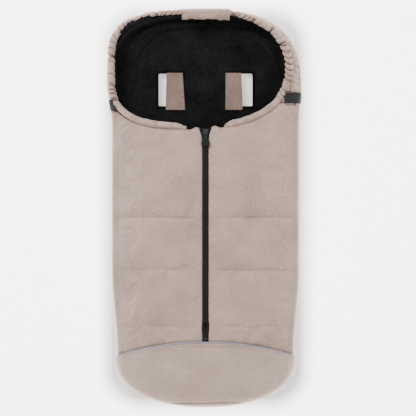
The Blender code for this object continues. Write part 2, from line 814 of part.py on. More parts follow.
def gathered(name, path, material):
    """A gathered tube of cloth, thick and thin by turns, with a bore for the elastic."""
    radii = [RIM_RADIUS + (RIM_GATHER if i % 2 else -RIM_GATHER) for i in range(len(path))]
    cover = tube(name, path, radii, RIM_SIDES, material)
    ends = (path[0] * 2 - path[1], path[-1] * 2 - path[-2])
    bore = [ends[0]] + path[1:-1] + [ends[1]]
    cutter = tube("bore_" + name, bore, [RIM_BORE_RADIUS] * len(bore), CORD_SIDES, material)
    return combine(cover, cutter, "DIFFERENCE")


def make_rim(paint):
    """The hood's rim and the two hems, each cut off at the fold lines, and the elastics in them."""
    before_fold = mouth_turn_at_fold(RIM_INSET - RIM_PAST_FOLD)
    past_fold = mouth_turn_at_fold(RIM_INSET + RIM_PAST_FOLD)
    hood = rim_path(before_fold, math.pi - before_fold)
    half_hood = rim_path(before_fold, math.pi / 2)
    hem = rim_path(mouth_turn_at_x(HEM_START_X), past_fold)
    covers = {
        "right_hood_rim": (half_hood, FOLD_GAP, "DIFFERENCE"),
        "left_hood_rim": (other_hand(half_hood), FOLD_GAP, "DIFFERENCE"),
        "right_hem": (hem, -FOLD_GAP, "INTERSECT"),
        "left_hem": (other_hand(hem), -FOLD_GAP, "INTERSECT"),
    }
    cords = {
        "hood_rim_elastic": (hood, FOLD_GAP, "DIFFERENCE"),
        "right_hem_elastic": (hem, -FOLD_GAP, "INTERSECT"),
        "left_hem_elastic": (other_hand(hem), -FOLD_GAP, "INTERSECT"),
    }
    pieces = {name: gathered(name, run[0], paint["shell"]) for name, run in covers.items()}
    for name, (path, _, _) in cords.items():
        pieces[name] = tube(name, path, [ELASTIC_RADIUS] * len(path), CORD_SIDES, paint["elastic"])
    for name, (_, shift, operation) in {**covers, **cords}.items():
        trim = prism("trim_" + name, between_folds(shift), SEAM_Z, CROWN_Z + OVERRUN, paint["shell"])
        combine(pieces[name], trim, operation)
    half, top_y = FIT_GAP / 2, MOUTH_TOP_Y + OVERRUN
    for name in ("right_hood_rim", "left_hood_rim"):
        low, high = (-half, MOUTH_CENTRE_Y, SEAM_Z), (half, top_y, CROWN_Z + OVERRUN)
        combine(pieces[name], block("seam_" + name, low, high, paint["shell"]), "DIFFERENCE")


# The zip


def make_tapes(paint):
    """The tape half under each lapel's edge. It widens at its top round the slider's post."""
    room = POST_HALF_WIDTH + SLIDER_CLEARANCE
    right = [
        (TAPE_SLIT, TAPE_END_Y),
        (TAPE_HALF_WIDTH, fold_y(TAPE_HALF_WIDTH, -2 * FOLD_GAP)),
        (TAPE_HALF_WIDTH, ZIP_TOP_Y),
        (room, ZIP_TOP_Y),
        (room, TEETH_TOP_Y),
        (TAPE_SLIT, TEETH_TOP_Y),
    ]
    low = TAPE_TOP_Z - TAPE_THICK
    prism("right_zip_tape", right, low, TAPE_TOP_Z, paint["tape"])
    prism("left_zip_tape", mirrored(right), low, TAPE_TOP_Z, paint["tape"])


def comb(name, low_y, high_y, teeth_top_y, phase_share, sign, material):
    """One side's row of teeth: a bead along the tape with teeth that reach past the middle."""
    outline = [(BEAD_OUTER_X, low_y), (BEAD_OUTER_X, high_y), (BEAD_INNER_X, high_y)]
    count = int((teeth_top_y - low_y) / TOOTH_PITCH - phase_share)
    for k in reversed(range(count + 1)):
        y = low_y + (k + phase_share) * TOOTH_PITCH
        if y + TOOTH_ROOT_HALF > teeth_top_y:
            continue
        outline += [
            (BEAD_INNER_X, y + TOOTH_ROOT_HALF),
            (-TOOTH_REACH, y + TOOTH_TIP_HALF),
            (-TOOTH_REACH, y - TOOTH_TIP_HALF),
            (BEAD_INNER_X, y - TOOTH_ROOT_HALF),
        ]
    outline.append((BEAD_INNER_X, low_y))
    plan = outline if sign > 0 else mirrored(outline)
    return prism(name, plan, TEETH_LOW_Z, TEETH_TOP_Z, material)


def make_teeth(paint):
    """The interlocking rows on the lapels, and the short closed rows at the foot of the zip."""
    for side, sign, phase_share in (("left", -1, 0.25), ("right", 1, 0.75)):
        comb(side + "_zip_teeth", TEETH_LOW_Y, TEETH_TOP_Y, TEETH_TOP_Y, phase_share, sign, paint["teeth"])
        name = side + "_end_teeth"
        comb(name, END_TEETH_LOW_Y, END_BEAD_TOP_Y, END_TEETH_TOP_Y, phase_share, sign, paint["teeth"])


def make_zip_end(paint):
    """The joined tape under the foot of the zip, with room for the slider's post, and its stop."""
    room = POST_HALF_WIDTH + SLIDER_CLEARANCE
    low_y = ZIP_SLOT_END_Y + FIT_GAP
    half = [
        (TAPE_HALF_WIDTH, low_y),
        (TAPE_HALF_WIDTH, fold_y(TAPE_HALF_WIDTH, -2 * FOLD_GAP) - END_TAPE_GAP),
        (room, TAPE_END_Y - END_TAPE_GAP),
        (room, END_TEETH_TOP_Y),
    ]
    prism("zip_end_tape", half + mirrored(half), TAPE_TOP_Z - TAPE_THICK, TAPE_TOP_Z, paint["tape"])
    low = (-STOP_HALF_WIDTH, STOP_Y - STOP_LENGTH / 2, TEETH_LOW_Z)
    high = (STOP_HALF_WIDTH, STOP_Y + STOP_LENGTH / 2, TEETH_LOW_Z + STOP_THICK)
    block("bottom_stop", low, high, paint["metal"])


def make_slider(paint):
    """The slider: two plates joined by the post that parts the teeth, side flanges and a bail."""
    metal = paint["metal"]
    length, width, corner = SLIDER_LENGTH / 2, SLIDER_HALF_WIDTH, SLIDER_CORNER
    top_low = TEETH_TOP_Z + SLIDER_CLEARANCE
    top_high = top_low + SLIDER_PLATE
    bottom_high = TAPE_TOP_Z - TAPE_THICK - SLIDER_CLEARANCE
    plate = [
        (width, SLIDER_Y - length + 2 * corner),
        (width, SLIDER_Y + length - corner),
        (width - corner, SLIDER_Y + length),
        (-width + corner, SLIDER_Y + length),
        (-width, SLIDER_Y + length - corner),
        (-width, SLIDER_Y - length + 2 * corner),
        (-width + corner, SLIDER_Y - length),
        (width - corner, SLIDER_Y - length),
    ]
    slider = prism("zip_slider", plate, top_low, top_high, metal)
    base = prism("slider_base", plate, bottom_high - SLIDER_PLATE, bottom_high, metal)
    front_y = SLIDER_Y + length
    post_plan = [
        (0.0, front_y - POST_LENGTH),
        (POST_HALF_WIDTH, front_y - POST_LENGTH / 2),
        (POST_HALF_WIDTH, front_y),
        (-POST_HALF_WIDTH, front_y),
        (-POST_HALF_WIDTH, front_y - POST_LENGTH / 2),
    ]
    low, high = bottom_high - SLIDER_PLATE / 2, top_low + SLIDER_PLATE / 2
    combine(slider, prism("slider_post", post_plan, low, high, metal), "UNION")
    combine(slider, base, "UNION")
    for side, x in (("left", -width), ("right", width - SLIDER_FLANGE)):
        corners = (
            (x, SLIDER_Y - length + 2 * corner, TAPE_TOP_Z + SLIDER_CLEARANCE),
            (x + SLIDER_FLANGE, SLIDER_Y + length - corner, top_low + SLIDER_PLATE / 2),
        )
        combine(slider, block(side + "_flange", *corners, metal), "UNION")
    middle = SLIDER_Y + BAIL_SHIFT_Y
    reach, wall = BAIL_LENGTH / 2, BAIL_WALL
    sunk = top_high - SLIDER_PLATE / 2
    arch = [
        (middle - reach, sunk),
        (middle - reach, top_high + BAIL_RISE - wall),
        (middle - reach + wall, top_high + BAIL_RISE),
        (middle + reach - wall, top_high + BAIL_RISE),
        (middle + reach, top_high + BAIL_RISE - wall),
        (middle + reach, sunk),
        (middle + reach - wall, sunk),
        (middle + reach - wall, top_high + BAIL_RISE - wall),
        (middle - reach + wall, top_high + BAIL_RISE - wall),
        (middle - reach + wall, sunk),
    ]
    ends = [[(x, y, z) for y, z in arch] for x in (-BAIL_HALF_WIDTH, BAIL_HALF_WIDTH)]
    combine(slider, loft("slider_bail", ends, metal, smooth=False), "UNION")
    return slider


def pin_place():
    """(y, z) of the pin that the pull turns on, in the lower end of the slider's bail."""
    top_high = TEETH_TOP_Z + SLIDER_CLEARANCE + SLIDER_PLATE
    y = SLIDER_Y + BAIL_SHIFT_Y - BAIL_LENGTH / 2 + BAIL_WALL + PIN_RADIUS + FIT_GAP
    return y, top_high + PIN_RISE


def make_pull(paint):
    """The forked pull on its pin, and the moulded tab that its tongue is held in."""
    pin_y, pin_z = pin_place()
    inner_x = BAIL_HALF_WIDTH + SLIDER_CLEARANCE
    outer_x = inner_x + PULL_ARM_WIDTH
    root_y = pin_y - PULL_ARM_LENGTH
    half = [
        (PULL_TONGUE_HALF_WIDTH, root_y - PULL_TONGUE_LENGTH),
        (PULL_TONGUE_HALF_WIDTH, root_y - PULL_ARM_WIDTH),
        (outer_x, root_y - PULL_ARM_WIDTH),
        (outer_x, pin_y + PULL_ARM_WIDTH / 2),
        (inner_x, pin_y + PULL_ARM_WIDTH / 2),
        (inner_x, root_y),
    ]
    low, high = pin_z - PULL_THICK / 2, pin_z + PULL_THICK / 2
    pull = prism("zip_pull", half + mirrored(half), low, high, paint["metal"])
    reach = inner_x + PULL_ARM_WIDTH / 2
    turns = [math.tau * k / 10 for k in range(10)]
    ring = [(pin_y + PIN_RADIUS * math.cos(a), pin_z + PIN_RADIUS * math.sin(a)) for a in turns]
    pin = loft("pull_pin", [[(x, y, z) for y, z in ring] for x in (-reach, reach)], paint["metal"])
    combine(pull, pin, "UNION")

    neck_y = root_y - PULL_ARM_WIDTH - FIT_GAP
    bar_y = neck_y - TAB_NECK_LENGTH
    half = [
        (TAB_BAR_HALF_WIDTH, bar_y - TAB_BAR_LENGTH),
        (TAB_BAR_HALF_WIDTH, bar_y),
        (TAB_NECK_HALF_WIDTH, bar_y),
        (TAB_NECK_HALF_WIDTH, neck_y),
    ]
    low, high = pin_z - PULL_TAB_THICK / 2, pin_z + PULL_TAB_THICK / 2
    tab = prism("pull_tab", half + mirrored(half), low, high, paint["rubber"])
    corner = PULL_TONGUE_HALF_WIDTH + FIT_GAP
    socket_low = (-corner, root_y - PULL_TONGUE_LENGTH - FIT_GAP, pin_z - PULL_THICK / 2 - FIT_GAP)
    socket_high = (corner, neck_y + OVERRUN, pin_z + PULL_THICK / 2 + FIT_GAP)
    combine(tab, block("tab_socket", socket_low, socket_high, paint["rubber"]), "DIFFERENCE")
    return [pull, tab]


# The foot cap


def cap_mouth_y(x):
    """The cap's mouth edge: highest over the zip, and drawn back at the sides."""
    share = min(1.0, abs(x) / (FOOT_HALF_WIDTH + CAP_LOOSENESS + CAP_THICK))
    return CAP_MOUTH_Y - CAP_MOUTH_SAG * share**CAP_MOUTH_POWER


def make_foot_cap(paint):
    """The cap over the foot end: front, back and the sole between them, with a piped edge."""
    reach = FOOT_HALF_WIDTH + OVERRUN
    low_y = FOOT_TIP_Y - OVERRUN
    steps = 24
    xs = [reach - 2 * reach * i / steps for i in range(steps + 1)]
    body = [(x, cap_mouth_y(x)) for x in xs]
    body += [(-reach, CAP_SOLE_Y + FIT_GAP / 2), (reach, CAP_SOLE_Y + FIT_GAP / 2)]
    sole_y = CAP_SOLE_Y - FIT_GAP / 2
    sole = [(-reach, low_y), (reach, low_y), (reach, sole_y), (-reach, sole_y)]
    cuts = {
        "foot_cap_front": (body, SEAM_TOP_Z, CROWN_Z + OVERRUN),
        "foot_cap_back": (body, -OVERRUN, SEAM_LOW_Z),
        "foot_cap_sole": (sole, -OVERRUN, CROWN_Z + OVERRUN),
    }
    outer = (CAP_LOOSENESS + CAP_THICK, CAP_LIFT + CAP_THICK, SHELL_FLOOR_Z)
    inner = (CAP_LOOSENESS, CAP_LIFT, FIT_GAP)
    pieces = []
    for name, (plan, low, high) in cuts.items():
        piece = whole_bag(name, *outer, paint["shell"])
        combine(piece, whole_bag("inside_" + name, *inner, paint["shell"]), "DIFFERENCE")
        combine(piece, prism("keep_" + name, plan, low, high, paint["shell"]), "INTERSECT")
        pieces.append(piece)
    pieces.append(make_piping(paint))
    return pieces


def make_piping(paint):
    """The piping along the cap's front edge, from one side seam to the other."""
    half = []
    for spread in DOME_SPREAD_SHARES:
        x = spread * (FOOT_HALF_WIDTH + PIPING_SEAT)
        for _ in range(4):
            y = cap_mouth_y(x) + PIPING_RADIUS + 2 * FIT_GAP
            x = spread * (half_width(y) + PIPING_SEAT)
        z = SEAM_TOP_Z + (DOME_RISE + PIPING_SEAT) * other_side(spread, DOME_POWER)
        half.append(Vector((x, y, z)))
    other = [Vector((-p.x, p.y, p.z)) for p in reversed(half[:-1])]
    path = half + other
    return tube("cap_piping", path, [PIPING_RADIUS] * len(path), CORD_SIDES, paint["piping"])


# Flaps, tab, bands and patch


def make_flaps(paint):
    """The cloth flap over the inner part of each shoulder slot, sewn at its inner edge."""
    low_z = LINING_TOP_Z + FIT_GAP + SLOT_FLANGE_THICK + FIT_GAP
    for side, sign in (("left", -1), ("right", 1)):
        xs = sorted((sign * FLAP_SEWN_X, sign * FLAP_FREE_X))
        low, high = (xs[0], FLAP_LOW_Y, low_z), (xs[1], FLAP_HIGH_Y, low_z + FLAP_THICK)
        flap = block(side + "_slot_flap", low, high, paint["shell"])
        hinge = (sign * FLAP_SEWN_X, (FLAP_LOW_Y + FLAP_HIGH_Y) / 2, low_z + FLAP_THICK)
        carry(side + "_flap_axis", hinge, [flap])


def tab_section(x):
    """The tab's closed section over the rim at one x, as points."""
    grown = FIT_GAP
    across = min(1.0, abs(x) / MOUTH_HALF_WIDTH)
    edge_y = MOUTH_CENTRE_Y + MOUTH_HALF_LENGTH * other_side(across, MOUTH_POWER)
    rim_y = MOUTH_CENTRE_Y + (MOUTH_HALF_LENGTH - RIM_INSET) * other_side(across, MOUTH_POWER)
    rim_z = dome_height(x, edge_y) - RIM_DROP
    reach = HOOD_TOP_Y + grown - HOOD_WIDE_Y
    seam_y = HOOD_WIDE_Y + reach * other_side(abs(x) / HOOD_HALF_WIDTH, HOOD_POWER)
    line = [Vector((seam_y, TAB_LOW_Z)), Vector((seam_y, SEAM_TOP_Z))]
    for spread in DOME_SPREAD_SHARES[1:3]:
        y = HOOD_WIDE_Y + (seam_y - HOOD_WIDE_Y) * spread
        line.append(Vector((y, SEAM_TOP_Z + (DOME_RISE + grown) * other_side(spread, DOME_POWER))))
    radius = (RIM_RADIUS + RIM_GATHER) / math.cos(TAB_TURN / 2) + 2 * grown
    for k in range(4):
        turn = TAB_FIRST_TURN + TAB_TURN * k
        line.append(Vector((rim_y + radius * math.cos(turn), rim_z + radius * math.sin(turn))))
    line.append(Vector((rim_y - radius, rim_z - TAB_FRONT_DROP)))
    outer = []
    for i, here in enumerate(line):
        along = line[min(i + 1, len(line) - 1)] - line[max(i - 1, 0)]
        outer.append(here + Vector((along.y, -along.x)).normalized() * TAB_THICK)
    return [Vector((x, p.x, p.y)) for p in line + outer[::-1]]


def make_tab(paint):
    """The smooth tab that wraps over the rim at the middle of the head end."""
    steps = 4
    xs = [TAB_HALF_WIDTH * (2 * i / steps - 1) for i in range(steps + 1)]
    loft("top_tab", [tab_section(x) for x in xs], paint["shell"])


def make_bands(paint):
    """The elastic band at each side, sewn under the back and running up the side to the rim."""
    thick = BAND_THICK + FIT_GAP
    reach = HOOD_HALF_WIDTH + OVERRUN
    for side, sign in (("left", -1), ("right", 1)):
        xs = sorted((sign * BAND_SEWN_X, sign * reach))
        low = (xs[0], BAND_Y - BAND_WIDTH / 2, -OVERRUN)
        high = (xs[1], BAND_Y + BAND_WIDTH / 2, BAND_TOP_Z)
        name = side + "_side_band"
        band = whole_bag(name, thick, thick, thick, paint["elastic"])
        inside = whole_bag("inside_" + name, FIT_GAP, FIT_GAP, FIT_GAP, paint["elastic"])
        combine(band, inside, "DIFFERENCE")
        combine(band, block("keep_" + name, low, high, paint["elastic"]), "INTERSECT")


def make_patch(paint):
    """The grip patch sewn under the back, a rectangle with rounded corners."""
    outline = []
    middle_y, half_length = (PATCH_LOW_Y + PATCH_HIGH_Y) / 2, (PATCH_HIGH_Y - PATCH_LOW_Y) / 2
    for quarter in range(4):
        sign_x = 1 if quarter in (0, 3) else -1
        sign_y = 1 if quarter in (0, 1) else -1
        centre_x = sign_x * (PATCH_HALF_WIDTH - PATCH_CORNER)
        centre_y = middle_y + sign_y * (half_length - PATCH_CORNER)
        for k in range(5):
            turn = math.pi / 2 * (quarter + k / 4)
            x = centre_x + PATCH_CORNER * math.cos(turn)
            outline.append((x, centre_y + PATCH_CORNER * math.sin(turn)))
    prism("grip_patch", outline, 0.0, UNDERLAY, paint["grip"])


def clear_scene():
    """Removes what the scene holds."""
    for obj in list(bpy.data.objects):
        bpy.data.objects.remove(obj, do_unlink=True)


def main():
    """Makes every piece and hangs the moving ones on their joint axes."""
    clear_scene()
    paint = make_materials()
    make_back(paint)
    make_slot_bindings(paint)
    make_dome(paint)
    make_rim(paint)
    make_tapes(paint)
    make_teeth(paint)
    make_zip_end(paint)
    slider = make_slider(paint)
    pull = make_pull(paint)
    cap = make_foot_cap(paint)
    make_flaps(paint)
    make_tab(paint)
    make_bands(paint)
    make_patch(paint)
    fold_z = CROWN_Z + FOLD_AXIS_LIFT
    for side in ("left", "right"):
        pieces = [bpy.data.objects[side + "_" + name] for name in LAPEL_PIECES]
        carry(side + "_fold_axis", (0.0, FOLD_FOOT_Y, fold_z), pieces)
    pin_y, pin_z = pin_place()
    carry("slider_axis", (0.0, SLIDER_Y, TEETH_LOW_Z), [slider])
    carry("pull_axis", (0.0, pin_y, pin_z), pull)
    carry("cap_axis", (0.0, CAP_MOUTH_Y, SEAM_Z), cap)


main()
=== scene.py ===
"""A padded stroller footmuff, dressed over its CAD frame and seen from straight above.

The cloth is built as numpy surfaces that follow the bag's own form: a dome over a tray, with the
gathered rim round the mouth, the quilted cover in two halves and the piped cap over the foot end.
"""

from __future__ import annotations

import json
import logging
import math
from collections.abc import Callable
from dataclasses import dataclass, field
from enum import Enum

import bmesh
import bpy
import numpy as np
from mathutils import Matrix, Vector

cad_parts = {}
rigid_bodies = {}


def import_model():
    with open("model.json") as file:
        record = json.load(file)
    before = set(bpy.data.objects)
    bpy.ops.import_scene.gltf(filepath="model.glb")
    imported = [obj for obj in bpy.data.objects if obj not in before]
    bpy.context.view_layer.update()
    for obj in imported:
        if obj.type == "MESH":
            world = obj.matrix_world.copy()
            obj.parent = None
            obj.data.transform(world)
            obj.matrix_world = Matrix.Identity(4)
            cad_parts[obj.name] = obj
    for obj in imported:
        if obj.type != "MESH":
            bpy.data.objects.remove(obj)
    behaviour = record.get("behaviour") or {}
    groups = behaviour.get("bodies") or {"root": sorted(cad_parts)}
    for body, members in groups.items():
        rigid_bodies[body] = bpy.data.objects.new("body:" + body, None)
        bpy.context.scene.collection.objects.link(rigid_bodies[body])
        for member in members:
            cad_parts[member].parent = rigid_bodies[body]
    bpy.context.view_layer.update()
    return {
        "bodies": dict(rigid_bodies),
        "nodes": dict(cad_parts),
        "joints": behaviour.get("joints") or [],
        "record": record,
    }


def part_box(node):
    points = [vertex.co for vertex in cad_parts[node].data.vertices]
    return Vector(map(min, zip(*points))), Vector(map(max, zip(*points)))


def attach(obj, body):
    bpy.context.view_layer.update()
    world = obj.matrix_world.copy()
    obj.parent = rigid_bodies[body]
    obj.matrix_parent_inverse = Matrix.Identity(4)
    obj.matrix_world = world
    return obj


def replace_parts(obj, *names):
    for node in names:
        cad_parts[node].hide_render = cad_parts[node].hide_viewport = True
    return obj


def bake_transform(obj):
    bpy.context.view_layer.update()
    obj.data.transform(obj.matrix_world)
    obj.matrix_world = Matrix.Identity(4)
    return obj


log = logging.getLogger("footmuff")

Array = np.ndarray

PHOTO_SPAN = 0.9776
PHOTO_CENTRE_X = 0.0059
CAMERA_HEIGHT = 6.0
WELD_DISTANCE = 0.00001
ELASTIC_RADIUS = 0.0019


class Side(Enum):
    """The two sides of the bag, as seen from above with the hood up."""

    LEFT = -1
    RIGHT = 1

    @property
    def word(self) -> str:
        """The side's name as the CAD nodes spell it."""
        return self.name.lower()


# Numeric helpers


def smooth(value: Array, low: float, high: float) -> Array:
    """0 below low, 1 above high, with a smooth rise between."""
    t = np.clip((value - low) / (high - low), 0.0, 1.0)
    return t * t * (3 - 2 * t)


def lattice(ix: Array, iy: Array, seed: int) -> Array:
    """A fixed pseudo-random number from 0 to 1 for each pair of whole numbers."""
    mixed = ix.astype(np.int64) * 374761393 + iy.astype(np.int64) * 668265263 + seed * 974634777
    mixed = (mixed ^ (mixed >> 13)) * 1274126177
    return ((mixed ^ (mixed >> 16)) & 0xFFFFFF) / float(0xFFFFFF)


def noise(x: Array, y: Array, size: float, seed: int) -> Array:
    """Smooth noise from -1 to 1 whose bumps are about size across."""
    u, v = np.asarray(x) / size, np.asarray(y) / size
    iu, iv = np.floor(u), np.floor(v)
    fu, fv = u - iu, v - iv
    fu, fv = fu * fu * (3 - 2 * fu), fv * fv * (3 - 2 * fv)
    corners = [lattice(iu + a, iv + b, seed) for a in (0, 1) for b in (0, 1)]
    low = corners[0] * (1 - fv) + corners[1] * fv
    high = corners[2] * (1 - fv) + corners[3] * fv
    return 2 * (low * (1 - fu) + high * fu) - 1


def creases(x: Array, y: Array, size: float, seed: int) -> Array:
    """Sharp-edged folds from 0 to 1: the places where a smooth noise crosses zero."""
    return (1 - np.abs(noise(x, y, size, seed))) ** 3


def interpolate(at: Array, stations: tuple[tuple[float, float], ...]) -> Array:
    """Values between a few (place, value) stations, eased so that no corner shows."""
    places = np.array([s[0] for s in stations])
    values = np.array([s[1] for s in stations])
    fine = np.linspace(places[0], places[-1], 400)
    line = np.interp(fine, places, values)
    kernel = np.hanning(31)
    padded = np.concatenate([np.full(15, line[0]), line, np.full(15, line[-1])])
    return np.interp(at, fine, np.convolve(padded, kernel / kernel.sum(), "valid"))


def superellipse(turn: Array, power: Array) -> tuple[Array, Array]:
    """The point of a unit superellipse at each turn, with its signs."""
    c, s = np.cos(turn), np.sin(turn)
    x = np.sign(c) * np.abs(c) ** (2 / power)
    y = np.sign(s) * np.abs(s) ** (2 / power)
    return x, y


# The bag's form


@dataclass(frozen=True)
class Form:
    """The bag's outline, dome and tray, as the CAD has them, with the photograph's asymmetry.

    Lengths are metres in the frame of the CAD. The left half of the hood is squarer and wider than the
    right.

    Attributes:
        foot_wide_y: where the rounded foot end begins.
        foot_tip_y: the end of the foot.
        foot_half_width: half the width where the foot end begins.
        foot_power: how square the foot end is, as a superellipse's power.
        taper_y: where the body has its full width, above the foot.
        body_half_width: half the width of the straight body.
        flare_y: where the hood begins to widen.
        seam_z: height of the side seam, between the dome and the tray.
        rise: height of the dome above the seam.
        dome_power: how flat the dome is on top.
        side_rounding: width of the tray's turned-up side.
        floor_z: height of the tray's flat underside.
        cap_line_y: the foot cap's edge over the zip.
        cap_line_drop: how far that edge draws back towards the sides.
        cap_half_width: half the width over which it draws back.
        hood_width: half the hood's width on each side.
        hood_wide_y: where the hood is widest on each side.
        hood_top_y: the head end on each side.
        hood_power: how square the hood is on each side.
    """

    foot_wide_y: float = -0.352
    foot_tip_y: float = -0.4635
    foot_half_width: float = 0.206
    foot_power: float = 2.2
    taper_y: float = -0.140
    body_half_width: float = 0.2195
    flare_y: float = 0.200
    seam_z: float = 0.040
    rise: float = 0.040
    dome_power: float = 3.5
    side_rounding: float = 0.045
    floor_z: float = 0.0027
    cap_line_y: float = -0.317
    cap_line_drop: float = 0.034
    cap_half_width: float = 0.2123
    hood_width: dict[int, float] = field(default_factory=lambda: {-1: 0.2325, 1: 0.2250})
    hood_wide_y: dict[int, float] = field(default_factory=lambda: {-1: 0.300, 1: 0.280})
    hood_top_y: dict[int, float] = field(default_factory=lambda: {-1: 0.4655, 1: 0.4655})
    hood_power: dict[int, float] = field(default_factory=lambda: {-1: 2.9, 1: 2.7})

    def half_width(self, y: Array, side: int, inset: float = 0.0) -> Array:
        """Half the bag's width at y on one side, ends included, for an outline moved inwards."""
        y = np.asarray(y, float)
        taper = smooth(y, self.foot_wide_y, self.taper_y)
        body = self.foot_half_width + (self.body_half_width - self.foot_half_width) * taper
        wide_y = self.hood_wide_y[side]
        flare = self.hood_width[side] - self.body_half_width
        body = body + flare * smooth(y, self.flare_y, wide_y) - inset
        up = np.clip((y - wide_y) / (self.hood_top_y[side] - inset - wide_y), 0, 1)
        power = self.hood_power[side]
        down = np.clip((self.foot_wide_y - y) / (self.foot_wide_y - self.foot_tip_y - inset), 0, 1)
        foot = (1 - down**self.foot_power) ** (1 / self.foot_power)
        return body * (1 - up**power) ** (1 / power) * foot

    def spread_and_reach(self, x: Array, y: Array, inset: float = 0.0) -> tuple[Array, Array]:
        """(how far a point lies from the spine to the side seam, distance left to the seam).

        The first goes from 0 to 1 and is a superellipse's own radius in the two rounded ends. The
        second follows the same ray, so in the straight body it is simply the rest of the half width.
        """
        x, y = np.broadcast_arrays(np.asarray(x, float), np.asarray(y, float))
        found, left = np.zeros(x.shape), np.zeros(x.shape)
        for side in (-1, 1):
            wide_y, power = self.hood_wide_y[side], self.hood_power[side]
            straight = np.clip(y, self.foot_wide_y, wide_y)
            wide = self.half_width(straight, side, inset)
            across = np.abs(x) / wide
            up = np.clip((y - wide_y) / (self.hood_top_y[side] - inset - wide_y), 0, None)
            value = (across**power + up**power) ** (1 / power)
            down = np.clip((self.foot_wide_y - y) / (self.foot_wide_y - self.foot_tip_y - inset), 0, None)
            foot = (across**self.foot_power + down**self.foot_power) ** (1 / self.foot_power)
            value = np.where(y < self.foot_wide_y, foot, value)
            ray = np.hypot(x, y - straight)
            full = np.where(value > 1e-3, ray / np.maximum(value, 1e-3), wide)
            here = x * side >= 0
            found, left = np.where(here, value, found), np.where(here, full * (1 - value), left)
        return np.clip(found, 0, 1), np.clip(left, 0, None)

    def dome(self, x: Array, y: Array, grown: float = 0.0, depth: float = 0.0) -> Array:
        """Height of the dome's face over a point of the plan, grown outwards or depth below it."""
        spread, _ = self.spread_and_reach(x, y, depth - grown)
        rise = self.rise + grown - depth
        return self.seam_z + rise * (1 - spread**self.dome_power) ** (1 / self.dome_power)

    def cap_edge(self, x: Array) -> Array:
        """The foot cap's edge on the cover: highest over the zip, drawn back at the sides."""
        share = np.clip(np.abs(x) / self.cap_half_width, 0, 1)
        return self.cap_line_y - self.cap_line_drop * share**self.foot_power

    def tray(self, x: Array, y: Array, grown: float = 0.0, depth: float = 0.0) -> Array:
        """Height of the tray's face under a point: a quarter ellipse at the side, then the flat floor."""
        _, left = self.spread_and_reach(x, y, depth - grown)
        part = np.clip(left / (self.side_rounding + grown - depth), 0, 1)
        drop = self.seam_z - self.floor_z + grown - depth
        return self.seam_z - drop * np.sqrt(1 - (1 - part) ** 2)


FORM = Form()


@dataclass(frozen=True)
class Mouth:
    """The edge of the fleece that shows, an uneven flattened oval.

    Attributes:
        centre_x: the oval's middle, a little left of the zip.
        centre_y: its middle along the bag.
        half_width: half its width.
        half_length: half its length along the bag.
        left_power: how square its left half is, as a superellipse's power.
        right_power: the same for its right half.
        blend: half the width over which one power turns into the other.
    """

    centre_x: float = -0.0134
    centre_y: float = 0.3280
    half_width: float = 0.2004
    half_length: float = 0.1285
    left_power: float = 3.3
    right_power: float = 2.3
    blend: float = 0.06

    def power(self, x: Array) -> Array:
        """Squarer on the left than on the right."""
        share = smooth(np.asarray(x, float), -self.blend, self.blend)
        return self.left_power + (self.right_power - self.left_power) * share

    def point(self, turn: Array, out: Array | float = 0.0) -> tuple[Array, Array]:
        """The edge at a turn (0 at +X, a right angle at the head), moved outwards."""
        power = self.power(np.cos(turn) * self.half_width)
        ux, uy = superellipse(turn, power)
        return (
            self.centre_x + (self.half_width + out) * ux,
            self.centre_y + (self.half_length + out) * uy,
        )

    def low_y(self, x: Array, out: float = 0.0) -> Array:
        """The lower edge's y at x, moved outwards, or the centre's beyond the oval."""
        rel = np.clip(np.abs(np.asarray(x) - self.centre_x) / (self.half_width + out), 0, 1)
        power = self.power(np.asarray(x) - self.centre_x)
        return self.centre_y - (self.half_length + out) * (1 - rel**power) ** (1 / power)


MOUTH = Mouth()


@dataclass(frozen=True)
class Quilting:
    """The channels sewn across the cover and how deep they draw it in.

    Attributes:
        rows: y of each channel. The last one is only half as deep and starts further from the zip.
        depth: how deep a channel draws the cover in.
        reach: how far from its stitches the cover is drawn in.
        wander: how far a channel strays from a straight line.
        stitch_width: width of the stitch line.
        pucker_depth: depth of the puckers across a channel.
        pucker_length: length of a pucker's wave, over a whole turn.
    """

    rows: tuple[float, ...] = (-0.021, -0.145, -0.278)
    depth: float = 0.0042
    reach: float = 0.013
    wander: float = 0.0016
    stitch_width: float = 0.0016
    pucker_depth: float = 0.0007
    pucker_length: float = 0.0016

    def dip(self, x: Array, y: Array) -> tuple[Array, Array]:
        """(depth of the dip, strength of the stitch line) at each point."""
        wander = self.wander * noise(x, y * 0, 0.05, 5)
        dip, line = np.zeros(np.shape(x)), np.zeros(np.shape(x))
        for k, row in enumerate(self.rows):
            off = y - row - wander
            fade = smooth(np.abs(x), 0.008 + 0.008 * (k == 2), 0.045) * (1.0 if k < 2 else 0.5)
            width = self.reach * (1 + 0.25 * noise(x, y * 0, 0.03, 11 + k))
            dip = np.maximum(dip, fade * self.depth * np.exp(-np.abs(off / width) ** 1.35))
            line = np.maximum(line, fade * np.exp(-((off / self.stitch_width) ** 2)))
        pucker = 0.5 + 0.5 * np.sin(x / self.pucker_length + 2.5 * noise(x, y, 0.02, 3))
        near = dip / self.depth
        return dip + self.pucker_depth * pucker * near**1.5, line


QUILTING = Quilting()


# Finishes


def linear(hexadecimal: str) -> tuple[float, float, float, float]:
    """A hex colour as linear red, green, blue and alpha."""
    parts = [int(hexadecimal.lstrip("#")[i : i + 2], 16) / 255 for i in (0, 2, 4)]
    light = [p / 12.92 if p <= 0.04045 else ((p + 0.055) / 1.055) ** 2.4 for p in parts]
    return (*light, 1.0)


